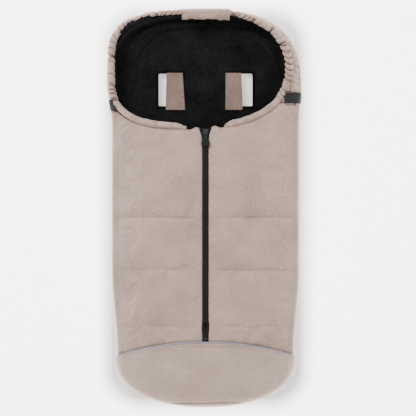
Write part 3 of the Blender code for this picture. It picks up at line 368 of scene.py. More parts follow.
class Nodes:
    """A material's node tree, with one short call to add a node and join its inputs."""

    def __init__(self, name: str) -> None:
        """Starts a material with only its output and a Principled shader.

        Args:
            name: the material's name.
        """
        self.material = bpy.data.materials.new(name)
        self.material.use_nodes = True
        self.tree = self.material.node_tree
        self.shader = self.tree.nodes["Principled BSDF"]

    def add(self, kind: str, inputs: dict | None = None, **settings: object) -> bpy.types.Node:
        """Adds a node, sets its properties, and fills its inputs with values or other outputs.

        Args:
            kind: the node's Blender type.
            inputs: socket name or number to a value or an output socket.
            settings: the node's own properties.

        Returns:
            The new node.
        """
        node = self.tree.nodes.new(kind)
        for key, value in settings.items():
            setattr(node, key, value)
        for key, value in (inputs or {}).items():
            self.put(node.inputs[key], value)
        return node

    def put(self, socket: bpy.types.NodeSocket, value: object) -> None:
        """Joins an output to a socket, or sets the socket's own value."""
        if isinstance(value, bpy.types.NodeSocket):
            self.tree.links.new(value, socket)
        else:
            socket.default_value = value

    def shade(self, **values: object) -> None:
        """Fills the shader's inputs, with underscores for the spaces in their names."""
        for key, value in values.items():
            self.put(self.shader.inputs[key.replace("_", " ")], value)

    def mix(self, share: object, first: object, second: object) -> bpy.types.NodeSocket:
        """A colour mix."""
        node = self.add("ShaderNodeMix", data_type="RGBA")
        for index, value in ((0, share), (6, first), (7, second)):
            self.put(node.inputs[index], value)
        return node.outputs[2]

    def math(self, operation: str, *values: object) -> bpy.types.NodeSocket:
        """One arithmetic step."""
        node = self.add("ShaderNodeMath", operation=operation)
        for index, value in enumerate(values):
            self.put(node.inputs[index], value)
        return node.outputs[0]

    def ramp(self, value: object, low: float, high: float) -> bpy.types.NodeSocket:
        """0 below low, 1 above high."""
        node = self.add("ShaderNodeMapRange", {0: value, 1: low, 2: high})
        return node.outputs[0]


@dataclass(frozen=True)
class Finish:
    """What a material looks like.

    Attributes:
        name: the real material.
        colour: its main colour as hex.
        shadow: the colour of the painted shade in its creases, folds and hollows, and of its seams.
        roughness: from 0 to 1.
        pitch: distance between its threads or fibres, in metres.
        relief: height of the threads or fibres, in metres.
        sheen: strength of its soft edge light.
        metallic: 1 for metal.
        specular: strength of its plain reflection.
        variation: how far its colour strays from the middle, as a share.
        seam_share: how much of the shadow colour the darkest painted shade and seams take.
    """

    name: str
    colour: str
    shadow: str
    roughness: float = 0.8
    pitch: float = 0.0006
    relief: float = 0.0001
    sheen: float = 0.0
    metallic: float = 0.0
    specular: float = 0.5
    variation: float = 0.14
    seam_share: float = 0.85

    def build(self) -> bpy.types.Material:
        """The material. Subclasses add their own pattern."""
        nodes = Nodes(self.name)
        height = self.pattern(nodes)
        # Painted shade: each mesh's darkness value mixes the colour towards the shadow colour in creases,
        # folds and hollows, and along seams.
        crease = nodes.add("ShaderNodeAttribute", attribute_name="crease").outputs["Fac"]
        darkness = nodes.math("MULTIPLY", crease, self.seam_share)
        shade = nodes.mix(darkness, self.tone(nodes), linear(self.shadow))
        bump = nodes.add("ShaderNodeBump", {"Strength": 1.0, "Distance": self.relief, "Height": height})
        nodes.shade(
            Base_Color=shade,
            Roughness=self.roughness,
            Metallic=self.metallic,
            Specular_IOR_Level=self.specular,
            Sheen_Weight=self.sheen,
            Sheen_Roughness=0.5,
            Normal=bump.outputs[0],
        )
        return nodes.material

    def tone(self, nodes: Nodes) -> bpy.types.NodeSocket:
        """The colour with a slow variation of a few per cent."""
        place = nodes.add("ShaderNodeTexCoord").outputs["Object"]
        cloud = nodes.add("ShaderNodeTexNoise", {"Vector": place, "Scale": 18.0, "Detail": 5.0})
        fine = nodes.add("ShaderNodeTexNoise", {"Vector": place, "Scale": 420.0, "Detail": 2.0})
        both = nodes.math("MULTIPLY_ADD", fine.outputs[0], 0.45, cloud.outputs[0])
        return self.between(nodes, nodes.ramp(both, 0.40, 1.05))

    def between(self, nodes: Nodes, share: object) -> bpy.types.NodeSocket:
        """The colour from its darkest at 0 to its lightest at 1."""
        colour = linear(self.colour)[:3]
        factors = (1 - self.variation, 1 + self.variation)
        dark, light = ((*(min(1.0, factor * c) for c in colour), 1.0) for factor in factors)
        return nodes.mix(share, dark, light)

    def pattern(self, nodes: Nodes) -> bpy.types.NodeSocket:
        """Plain grain, as on moulded plastic."""
        place = nodes.add("ShaderNodeTexCoord").outputs["Object"]
        grain = nodes.add("ShaderNodeTexNoise", {"Vector": place, "Scale": 1 / self.pitch, "Detail": 3.0})
        return grain.outputs[0]


@dataclass(frozen=True)
class Woven(Finish):
    """A plain weave, with its threads along the surface's own two directions."""

    slub: float = 0.5
    streak_scales: tuple[tuple[float, float, float], ...] = ((150.0, 1100.0, 1.0), (1100.0, 150.0, 1.0))

    def tone(self, nodes: Nodes) -> bpy.types.NodeSocket:
        """Slow clouds, with the short streaks of uneven threads both ways, as in a melange cloth."""
        place = nodes.add("ShaderNodeUVMap", uv_map="cloth").outputs[0]
        streaks = []
        for scale in self.streak_scales:
            mapped = nodes.add("ShaderNodeMapping", {"Vector": place, "Scale": scale}).outputs[0]
            grain = nodes.add("ShaderNodeTexNoise", {"Vector": mapped, "Scale": 1.0, "Detail": 2.0})
            streaks.append(grain.outputs[0])
        threads = nodes.math("MULTIPLY", nodes.math("ADD", *streaks), self.slub)
        spot = nodes.add("ShaderNodeTexCoord").outputs["Object"]
        cloud = nodes.add("ShaderNodeTexNoise", {"Vector": spot, "Scale": 14.0, "Detail": 5.0}).outputs[0]
        speck = nodes.add("ShaderNodeTexNoise", {"Vector": spot, "Scale": 330.0, "Detail": 2.0}).outputs[0]
        grain = nodes.math("MULTIPLY_ADD", speck, 0.6, threads)
        return self.between(nodes, nodes.ramp(nodes.math("MULTIPLY_ADD", cloud, 0.45, grain), 0.80, 1.28))

    def pattern(self, nodes: Nodes) -> bpy.types.NodeSocket:
        """Two crossed rows of threads, one over and one under by turns."""
        place = nodes.add("ShaderNodeUVMap", uv_map="cloth").outputs[0]
        scale = math.pi / 10 / self.pitch
        look = {"Vector": place, "Scale": scale, "Distortion": 0.4}
        rows = [nodes.add("ShaderNodeTexWave", look, bands_direction=d).outputs["Fac"] for d in ("X", "Y")]
        return nodes.math("MAXIMUM", *rows)


@dataclass(frozen=True)
class Pile(Finish):
    """A short fleece: tufts a few millimetres wide over fine fibres."""

    def tone(self, nodes: Nodes) -> bpy.types.NodeSocket:
        """Brushed patches where the pile lies one way or the other, with soft streaks between them."""
        place = nodes.add("ShaderNodeTexCoord").outputs["Object"]
        look = {"Vector": place, "Scale": 17.0, "Detail": 7.0, "Roughness": 0.66}
        bent = nodes.add("ShaderNodeTexNoise", look)
        tufts = nodes.add("ShaderNodeTexNoise", {"Vector": place, "Scale": 210.0, "Detail": 3.0})
        both = nodes.math("MULTIPLY_ADD", tufts.outputs[0], 0.55, bent.outputs[0])
        return self.between(nodes, nodes.ramp(both, 0.60, 0.98))

    def pattern(self, nodes: Nodes) -> bpy.types.NodeSocket:
        """Tufts from a cell texture, with fine noise for the fibres."""
        place = nodes.add("ShaderNodeTexCoord").outputs["Object"]
        tufts = nodes.add("ShaderNodeTexVoronoi", {"Vector": place, "Scale": 1 / (6 * self.pitch)})
        fibres = nodes.add("ShaderNodeTexNoise", {"Vector": place, "Scale": 1 / self.pitch, "Detail": 4.0})
        return nodes.math("MULTIPLY_ADD", fibres.outputs[0], 0.7, tufts.outputs["Distance"])


@dataclass(frozen=True)
class Ribbed(Finish):
    """Elastic webbing: ribs along the surface's first direction."""

    def pattern(self, nodes: Nodes) -> bpy.types.NodeSocket:
        """One row of ribs, a millimetre or two apart."""
        place = nodes.add("ShaderNodeUVMap", uv_map="cloth").outputs[0]
        look = {"Vector": place, "Scale": math.pi / 10 / self.pitch}
        return nodes.add("ShaderNodeTexWave", look, bands_direction="Y").outputs["Fac"]


class Palette:
    """Every finish of the object, each built once."""

    FINISHES = (
        Woven(
            "polyester_poplin_beige", "#CFB1A3", "#57453A", roughness=0.85, pitch=0.0005, relief=0.00012,
            sheen=0.15, specular=0.3, variation=0.24,
        ),
        Woven(
            "polyester_poplin_cap", "#D4B7A9", "#6F5A4B", roughness=0.85, pitch=0.0005, relief=0.00012,
            sheen=0.15, specular=0.3, variation=0.26,
        ),
        Woven(
            "polyester_poplin_flap", "#988074", "#4C3D33", roughness=0.85, pitch=0.0006, relief=0.00015,
            sheen=0.1, specular=0.3, variation=0.32,
        ),
        Pile(
            "coral_fleece_black", "#131315", "#030303", roughness=1.0, pitch=0.0009, relief=0.0020,
            sheen=0.12, specular=0.12, variation=0.95,
        ),
        Woven(
            "black_binding_tape", "#0E0E0F", "#020202", roughness=0.95, relief=0.0002,
            sheen=0.02, specular=0.1,
        ),
        Pile(
            "fibre_wadding_white", "#DADAD4", "#A8A8A2", roughness=1.0, pitch=0.0012, relief=0.0010,
            sheen=0.3, specular=0.3, variation=0.1,
        ),
        Ribbed(
            "elastic_webbing_grey", "#2E3130", "#121413", roughness=0.85, pitch=0.0012, relief=0.0003,
            sheen=0.05, specular=0.2,
        ),
        Ribbed(
            "coated_zip_tape", "#131415", "#040404", roughness=0.55, pitch=0.0008, relief=0.00008,
            specular=0.25,
        ),
        Finish(
            "polyester_zip_teeth", "#1B1C1D", "#040404", roughness=0.45, pitch=0.002, relief=0.00003,
            specular=0.35,
        ),
        Finish(
            "gunmetal_plated_zinc", "#55575A", "#1A1B1C", roughness=0.30, pitch=0.0015, relief=0.00002,
            metallic=1.0,
        ),
        Finish(
            "moulded_rubber_black", "#141617", "#060607", roughness=0.55, pitch=0.0008, relief=0.00005,
            specular=0.3,
        ),
        Woven("silicone_dot_mesh", "#2C2C2E", "#141415", roughness=0.7, pitch=0.0025, relief=0.0006),
        Woven(
            "reflective_piping", "#A7A3B4", "#4A4850", roughness=0.38, pitch=0.0005, relief=0.00006,
            sheen=0.1,
        ),
    )

    def __init__(self) -> None:
        """Builds every finish."""
        self.made = {f.name: f.build() for f in self.FINISHES}

    def __getitem__(self, name: str) -> bpy.types.Material:
        """The material of that name."""
        return self.made[name]


# Surfaces


@dataclass
class Surface:
    """A grid of points with its crease strength, made into one smooth mesh.

    Attributes:
        points: (rows, columns, 3) places in metres.
        crease: (rows, columns) painted shade of creases, folds and hollows, with the darkness of seams, 0 to
            1.
        closed: whether the last column joins the first.
        thickness: thickness of the cloth, 0 for a single face.
        both: whether the last row joins the first, as in a ring's own section.
        welded: whether points that meet, as at a pole, become one.
    """

    points: Array
    crease: Array | None = None
    closed: bool = False
    thickness: float = 0.0
    both: bool = False
    welded: bool = False

    def normals(self) -> Array:
        """Unit normals from the differences between neighbours."""
        p = self.points
        if self.closed:
            wrapped = np.concatenate([p[:, -1:], p, p[:, :1]], axis=1)
            across = wrapped[:, 2:] - wrapped[:, :-2]
        else:
            across = np.gradient(p, axis=1)
        if self.both:
            wrapped = np.concatenate([p[-1:], p, p[:1]], axis=0)
            along = wrapped[2:] - wrapped[:-2]
        else:
            along = np.gradient(p, axis=0)
        n = np.cross(across, along)
        size = np.linalg.norm(n, axis=2, keepdims=True)
        n = n / np.maximum(size, 1e-12)
        if self.welded and size[-1].max() < 1e-10:
            n[-1] = n[-2].mean(axis=0)
        return n

    def faces(self) -> Array:
        """Quads between neighbouring rows and columns, as point numbers."""
        rows, columns = self.points.shape[:2]
        ids = np.arange(rows * columns).reshape(rows, columns)
        right = np.roll(ids, -1, axis=1)
        up = np.roll(ids, -1, axis=0)
        corner = np.roll(right, -1, axis=0)
        quads = np.stack([ids, right, corner, up], axis=2)
        quads = quads if self.both else quads[:-1]
        return (quads if self.closed else quads[:, :-1]).reshape(-1, 4)

    def lengths(self) -> tuple[Array, Array]:
        """Distances along the rows and the columns, for the weave."""
        along = np.linalg.norm(np.diff(self.points, axis=0, prepend=self.points[:1]), axis=2)
        across = np.linalg.norm(np.diff(self.points, axis=1, prepend=self.points[:, :1]), axis=2)
        return np.cumsum(across, axis=1), np.cumsum(along, axis=0)

    def build(self, name: str, *materials: bpy.types.Material) -> bpy.types.Object:
        """Makes the mesh object. A thick cloth gets a second face and rims, in the second material.

        Args:
            name: the object's name.
            materials: the outer material and, for a thick cloth, the inner one.

        Returns:
            The new object, linked to the scene.
        """
        outer = self.points.reshape(-1, 3)
        quads = self.faces()
        u, v = self.lengths()
        uv = np.stack([u, v], axis=2).reshape(-1, 2)
        crease = np.zeros(len(outer)) if self.crease is None else self.crease.reshape(-1)
        slots = np.zeros(len(quads), np.int32)
        points = outer
        if self.thickness:
            inner = (self.points - self.normals() * self.thickness).reshape(-1, 3)
            count = len(outer)
            inside = quads[:, ::-1] + count
            rims = self.rims(count)
            points = np.concatenate([outer, inner])
            uv, crease = np.concatenate([uv, uv]), np.concatenate([crease, crease])
            slots = np.concatenate([slots, np.ones(len(inside), int), np.zeros(len(rims), int)])
            quads = np.concatenate([quads, inside, rims])
            if len(materials) == 1:
                slots[:] = 0
        obj = mesh_object(name, points, quads, uv, crease, slots, materials)
        if self.welded:
            work = bmesh.new()
            work.from_mesh(obj.data)
            bmesh.ops.remove_doubles(work, verts=work.verts, dist=WELD_DISTANCE)
            bare = [edge for edge in work.edges if not edge.link_faces]
            bmesh.ops.delete(work, geom=bare, context="EDGES")
            work.to_mesh(obj.data)
            work.free()
        return obj

    def rims(self, count: int) -> Array:
        """Quads that close the open edges between the two faces."""
        rows, columns = self.points.shape[:2]
        ids = np.arange(rows * columns).reshape(rows, columns)
        edges = []
        if not self.both:
            for line, flip in ((ids[0], False), (ids[-1], True)):
                line = np.append(line, line[0]) if self.closed else line
                edges.append(line[::-1] if flip else line)
        if not self.closed:
            for line, flip in ((ids[:, 0], True), (ids[:, -1], False)):
                line = np.append(line, line[0]) if self.both else line
                edges.append(line[::-1] if flip else line)
        found = [np.stack([e[1:], e[:-1], e[:-1] + count, e[1:] + count], axis=1) for e in edges]
        return np.concatenate(found) if found else np.zeros((0, 4), int)


def mesh_object(
    name: str,
    points: Array,
    quads: Array,
    uv: Array,
    crease: Array,
    slots: Array,
    materials: tuple[bpy.types.Material, ...],
) -> bpy.types.Object:
    """A smooth mesh object from whole arrays.

    Args:
        name: the object's name.
        points: (n, 3) places.
        quads: (m, 4) point numbers.
        uv: (n, 2) cloth lengths.
        crease: (n,) painted shade, with the darkness of seams.
        slots: (m,) material number of each face.
        materials: the object's materials.

    Returns:
        The new object.
    """
    mesh = bpy.data.meshes.new(name)
    mesh.vertices.add(len(points))
    mesh.vertices.foreach_set("co", np.ascontiguousarray(points, np.float32).ravel())
    mesh.loops.add(quads.size)
    mesh.loops.foreach_set("vertex_index", np.ascontiguousarray(quads, np.int32).ravel())
    mesh.polygons.add(len(quads))
    mesh.polygons.foreach_set("loop_start", np.arange(0, quads.size, 4, dtype=np.int32))
    for material in materials:
        mesh.materials.append(material)
    mesh.polygons.foreach_set("material_index", np.minimum(slots, len(materials) - 1).astype(np.int32))
    mesh.update(calc_edges=True)
    mesh.shade_smooth()
    layer = mesh.uv_layers.new(name="cloth")
    layer.data.foreach_set("uv", np.ascontiguousarray(uv[quads.ravel()], np.float32).ravel())
    shade = mesh.attributes.new("crease", "FLOAT", "POINT")
    shade.data.foreach_set("value", np.ascontiguousarray(crease, np.float32))
    obj = bpy.data.objects.new(name, mesh)
    bpy.context.scene.collection.objects.link(obj)
    return obj


def tube_grid(
    path: Array, radii: Array, sides: int, ring: Callable[[Array, Array], Array] | None = None
) -> Array:
    """Points of a tube: one row for each turn round the path, one column for each path point.

    Args:
        path: (n, 3) middle line.
        radii: (n,) radius at each point.
        sides: points round the tube.
        ring: extra radius from (turn, point number) arrays.

    Returns:
        (sides, n, 3) points.
    """
    along = np.gradient(path, axis=0)
    along /= np.linalg.norm(along, axis=1, keepdims=True)
    side = np.cross(along, [0.0, 0.0, 1.0])
    side /= np.linalg.norm(side, axis=1, keepdims=True)
    up = np.cross(side, along)
    turns = np.linspace(0, math.tau, sides, endpoint=False)[:, None]
    reach = np.broadcast_to(radii[None, :], (sides, len(path))).copy()
    if ring is not None:
        reach = reach + ring(turns, np.arange(len(path))[None, :])
    outwards = np.cos(turns)[..., None] * side[None] + np.sin(turns)[..., None] * up[None]
    return path[None] + reach[..., None] * outwards


def arc_length(path: Array) -> Array:
    """Distance along a path at each of its points."""
    return np.concatenate([[0.0], np.cumsum(np.linalg.norm(np.diff(path, axis=0), axis=1))])


def crumple(x: Array, y: Array, seed: int) -> Array:
    """Small uneven folds of light padded cloth, in metres."""
    large = 0.0013 * noise(x, y, 0.055, seed)
    medium = 0.0006 * noise(x, y, 0.021, seed + 1)
    folds = 0.0007 * creases(x + 0.4 * y, y, 0.034, seed + 2)
    return large + medium - folds


def seam_lines(off: Array, width: float) -> Array:
    """How dark a sewn line is, at a distance off from it."""
    return np.exp(-((off / width) ** 2))


@dataclass(frozen=True)
class Stuffing:
    """Blender's cloth, blown up a little over the wadding, on a coarse copy of a surface.

    Attributes:
        growth: how much longer the cloth is than the frame that it is sewn to, as a share.
        most: the furthest a point may move, in metres.
        pressure: push of the wadding.
        bending: stiffness against folds.
        stretch: stiffness against tension and compression.
        shear: stiffness against shear.
        mass: mass of each point, in kilograms.
        quality: steps in each frame.
        frames: length of the run.
    """

    growth: float = 0.02
    most: float = 0.0045
    pressure: float = 1.0
    bending: float = 0.02
    stretch: float = 20.0
    shear: float = 5.0
    mass: float = 0.15
    quality: int = 5
    frames: int = 20

    def moves(self, surface: Surface, held: Array, step: tuple[int, int]) -> Array:
        """Simulates every step-th row and column and gives the moves of all points.

        Args:
            surface: the surface at rest.
            held: (rows, columns) from 0, free, to 1, sewn down.
            step: rows and columns between two simulated ones.

        Returns:
            (rows, columns, 3) moves in metres, none longer than most.
        """
        rows, columns = surface.points.shape[:2]
        pick_r = np.unique(np.append(np.arange(0, rows, step[0]), rows - 1))
        pick_c = np.arange(0, columns, step[1])
        pick_c = pick_c if surface.closed else np.unique(np.append(pick_c, columns - 1))
        coarse = Surface(surface.points[np.ix_(pick_r, pick_c)], closed=surface.closed)
        shape = coarse.points.shape
        count = shape[0] * shape[1]
        quads = coarse.faces()
        cloth = mesh_object(
            "cloth_run",
            coarse.points.reshape(-1, 3),
            quads,
            np.zeros((count, 2)),
            np.zeros(count),
            np.zeros(len(quads), int),
            (),
        )
        group = cloth.vertex_groups.new(name="sewn")
        for index, weight in enumerate(held[np.ix_(pick_r, pick_c)].ravel()):
            group.add([index], float(np.clip(weight, 0, 1)), "REPLACE")
        self.set_up(cloth.modifiers.new("cloth", "CLOTH"), group.name)
        for frame in range(1, self.frames + 1):
            bpy.context.scene.frame_set(frame)
        swollen = cloth.evaluated_get(bpy.context.evaluated_depsgraph_get())
        found = np.empty(count * 3, np.float32)
        swollen.data.vertices.foreach_get("co", found)
        bpy.data.objects.remove(cloth, do_unlink=True)
        bpy.context.scene.frame_set(1)
        move = found.reshape(shape) - coarse.points
        length = np.linalg.norm(move, axis=2, keepdims=True)
        move = move * self.most * np.tanh(length / self.most) / np.maximum(length, 1e-9)
        if surface.closed:
            pick_c, move = np.append(pick_c, columns), np.concatenate([move, move[:, :1]], axis=1)
        return spread_out(move, pick_r, pick_c, rows, columns)

    def set_up(self, modifier: bpy.types.ClothModifier, sewn: str) -> None:
        """Fills the cloth modifier's settings, with the points of the sewn group pinned."""
        settings = modifier.settings
        settings.quality = self.quality
        settings.mass = self.mass
        settings.tension_stiffness = self.stretch
        settings.compression_stiffness = self.stretch
        settings.shear_stiffness = self.shear
        settings.bending_stiffness = self.bending
        settings.use_pressure = True
        settings.uniform_pressure_force = self.pressure
        settings.vertex_group_mass = sewn
        settings.shrink_min = -self.growth
        settings.effector_weights.gravity = 0.0
        modifier.collision_settings.use_collision = False
        modifier.point_cache.frame_start = 1
        modifier.point_cache.frame_end = self.frames


def spread_out(coarse: Array, pick_r: Array, pick_c: Array, rows: int, columns: int) -> Array:
    """Values at a few rows and columns, carried over to all of them along both directions."""
    every = np.arange(columns)
    along = np.stack([[np.interp(every, pick_c, row[:, axis]) for axis in range(3)] for row in coarse])
    share = np.interp(np.arange(rows), pick_r, np.arange(len(pick_r)))
    low = np.minimum(share.astype(int), len(pick_r) - 2)
    part = (share - low)[:, None, None]
    both = along[low] * (1 - part) + along[low + 1] * part
    return both.transpose(0, 2, 1)


# Sub-assemblies


@dataclass(frozen=True)
class FleeceFold:
    """One long fold of the fleece, along the side of the hood.

    Attributes:
        place: where it lies, from 0 at the spine to 1 at the side seam.
        width: its width as a share of the same way.
        from_x: its left end.
        to_x: its right end.
        seed: number of its noise.
    """

    place: float
    width: float
    from_x: float
    to_x: float
    seed: int


@dataclass
class Back:
    """The back of the bag: the woven tray outside, the black fleece inside, and the bound slots.

    Attributes:
        palette: the finishes.
        slot_flange: width of a binding's flat part on the lining.
        rows: rows of a layer, from the foot to the head.
        columns: columns of a layer, from side to side.
        fold_height: height of a long fold of the fleece.
        cutter_z: how low and how high the slots are cut.
        binding_points: points round a binding.
        binding_power: how square a binding's corners are, as a superellipse's power.
        stitch_inset: how far from the slot's edge the binding is sewn.
    """

    palette: Palette
    slot_flange: float = 0.005
    rows: int = 260
    columns: int = 150
    fold_height: float = 0.0070
    cutter_z: tuple[float, float] = (-0.02, 0.04)
    binding_points: int = 320
    binding_power: float = 26.0
    stitch_inset: float = 0.0044

    LONG_FOLDS = (
        FleeceFold(place=0.70, width=0.035, from_x=-0.19, to_x=-0.02, seed=36),
        FleeceFold(place=0.82, width=0.030, from_x=-0.20, to_x=0.03, seed=37),
        FleeceFold(place=0.76, width=0.030, from_x=0.05, to_x=0.19, seed=38),
    )
    # Middle x and y, half width and half length of the smooth cloth round the slots
    SMOOTH_PLACES = ((0.083, 0.2795, 0.05, 0.06), (0.115, -0.025, 0.03, 0.045), (0.0, -0.13, 0.05, 0.03))
    # Name, depth, thickness, finish and slot of each layer
    LAYERS = (
        ("back_shell_cloth", 0.0, 0.0013, "polyester_poplin_beige", "woven_polyester"),
        ("back_wadding_fill", 0.0020, 0.0052, "fibre_wadding_white", "polyester_wadding"),
        ("back_fleece_lining", 0.0111, 0.0022, "coral_fleece_black", "coral_fleece"),
    )

    def tray(self, depth: float, thickness: float, inwards: bool) -> Surface:
        """One layer of the tray as rows across it from the foot to the head.

        Rows crowd at both ends and columns at both sides, where the face turns up. The fleece faces
        inwards and lies in soft folds, the other layers face outwards.
        """
        t = 0.5 * (1 - np.cos(np.linspace(0.02, math.pi - 0.02, self.rows)))[:, None]
        tip, top = FORM.foot_tip_y + depth, FORM.hood_top_y[1] - depth
        y = tip + (top - tip) * t
        share = np.sin(np.linspace(-math.pi / 2, math.pi / 2, self.columns))[None, :]
        share = np.sign(share) * np.abs(share) ** 0.85
        wide = np.where(share < 0, FORM.half_width(y, -1, depth), FORM.half_width(y, 1, depth))
        x = share * wide
        y = y + 0 * x
        z = FORM.tray(x, y, 0.0, depth)
        crease = np.zeros(x.shape)
        if inwards:
            z = z + self.folds(x, y, crease)
        grid = np.stack([x, y, z], axis=2)
        if not inwards:
            grid, crease = grid[:, ::-1], crease[:, ::-1]
        return Surface(grid, crease, thickness=thickness)

    def folds(self, x: Array, y: Array, crease: Array) -> Array:
        """Soft folds of the fleece, long ones that follow the hood and small ones all over.

        Args:
            x: places across the bag.
            y: places along it.
            crease: darkness of the cloth, to which the long folds' painted shadows are added.

        Returns:
            How far the fleece rises.
        """
        spread, left = FORM.spread_and_reach(x, y)
        rise = 0.0016 * noise(x, y, 0.060, 33) + 0.0010 * noise(x, y, 0.024, 34)
        rise = rise + 0.0014 * creases(x + 0.5 * y, y, 0.045, 35)
        for fold in self.LONG_FOLDS:
            off = (spread - fold.place - 0.05 * noise(x, y, 0.12, fold.seed)) / fold.width
            where = smooth(x, fold.from_x, fold.from_x + 0.05) * (1 - smooth(x, fold.to_x - 0.05, fold.to_x))
            where = where * smooth(y, 0.30, 0.36)
            rise = rise + self.fold_height * where * np.exp(-(off**2))
            # Painted shadow beside each long fold.
            crease += 0.9 * where * np.exp(-((off - 1.2) ** 2) * 1.5)
        calm = smooth(left, 0.010, 0.040)
        flat = np.ones(np.shape(x))
        for slot_x, slot_y, half_x, half_y in self.SMOOTH_PLACES:
            near = np.maximum((np.abs(x) - slot_x) ** 2 / half_x**2, (y - slot_y) ** 2 / half_y**2)
            flat = flat * smooth(near, 0.7, 1.3)
        return np.maximum(rise, -0.0004) * calm * (0.04 + 0.96 * flat)

    def slots(self) -> dict[str, tuple[Vector, Vector]]:
        """The open part of each slot, from its binding's box."""
        found = {}
        for name in ("crotch", "left_hip", "right_hip", "left_shoulder", "right_shoulder"):
            low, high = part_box(name + "_slot_binding")
            inset = Vector((self.slot_flange, self.slot_flange, 0))
            found[name] = (low + inset, high - inset)
        return found

    def cut(self, obj: bpy.types.Object) -> None:
        """Cuts the five slots through a piece in one exact Boolean and applies the result."""
        corners, quads = [], []
        for low, high in self.slots().values():
            start = len(corners)
            corners += [(x, y, z) for z in self.cutter_z for y in (low.y, high.y) for x in (low.x, high.x)]
            faces = ((0, 2, 3, 1), (4, 5, 7, 6), (0, 1, 5, 4), (2, 6, 7, 3), (0, 4, 6, 2), (1, 3, 7, 5))
            quads += [tuple(start + corner for corner in face) for face in faces]
        mesh = bpy.data.meshes.new("slot_cutter")
        mesh.from_pydata(corners, [], quads)
        cutter = bpy.data.objects.new("slot_cutter", mesh)
        bpy.context.scene.collection.objects.link(cutter)
        modifier = obj.modifiers.new("slots", "BOOLEAN")
        modifier.object = cutter
        modifier.operation = "DIFFERENCE"
        modifier.solver = "EXACT"
        bpy.context.view_layer.update()
        cut = bpy.data.meshes.new_from_object(obj.evaluated_get(bpy.context.evaluated_depsgraph_get()))
        obj.modifiers.clear()
        obj.data = cut
        bpy.data.objects.remove(cutter, do_unlink=True)

    def binding(self, name: str, low: Vector, high: Vector) -> bpy.types.Object:
        """A slot's binding: rounded cloth over the edge, sewn on the lining with one row of stitches."""
        middle = (low + high) / 2
        half = (high - low) / 2
        count = self.binding_points
        turn = np.linspace(0, math.tau, count, endpoint=False)
        ux, uy = superellipse(turn, np.full(count, self.binding_power))
        box_low, box_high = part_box(name + "_slot_binding")
        top, bottom = box_high.z, box_low.z
        section = (
            (0.0012, bottom), (0.0011, 0.006), (0.0011, 0.011), (0.0010, top - 0.0004), (0.0002, top),
            (-0.0012, top + 0.0001), (-0.0030, top), (-0.0044, top - 0.0001), (-0.0050, top - 0.0006),
            (-0.0050, top - 0.0010), (-0.0002, top - 0.0011), (0.0, 0.010), (0.0, bottom),
        )
        rows, shade_and_seam_rows = [], []
        for inset, z in section:
            x = middle.x + (half.x - inset) * ux
            y = middle.y + (half.y - inset) * uy
            rows.append(np.column_stack([x, y, np.full(count, z)]))
            dots = 0.5 + 0.5 * np.sin(turn * 60)
            stitched = seam_lines(np.array(inset + self.stitch_inset), 0.0004) * dots
            shade_and_seam_rows.append(np.broadcast_to(stitched, (count,)))
        ring = Surface(np.stack(rows)[::-1], np.stack(shade_and_seam_rows)[::-1], closed=True, both=True)
        obj = ring.build(name + "_binding_cloth", self.palette["black_binding_tape"])
        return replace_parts(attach(obj, "bag"), name + "_slot_binding")

    def build(self) -> None:
        """The shell, the wadding's edge, the fleece and the bindings."""
        panels = ["leg", "seat", "back", "head"]
        panels += [f"{side.word}_{part}" for side in Side for part in ("crotch_side", "hip", "side")]
        replaced = (["back_shell"], [panel + "_wadding" for panel in panels], ["back_lining"])
        for (name, depth, thickness, finish, slot), nodes in zip(self.LAYERS, replaced):
            inwards = nodes == ["back_lining"]
            obj = self.tray(depth, thickness, inwards).build(name, self.palette[finish])
            self.cut(obj)
            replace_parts(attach(obj, "bag"), *nodes)
        for name, (low, high) in self.slots().items():
            self.binding(name, low, high)


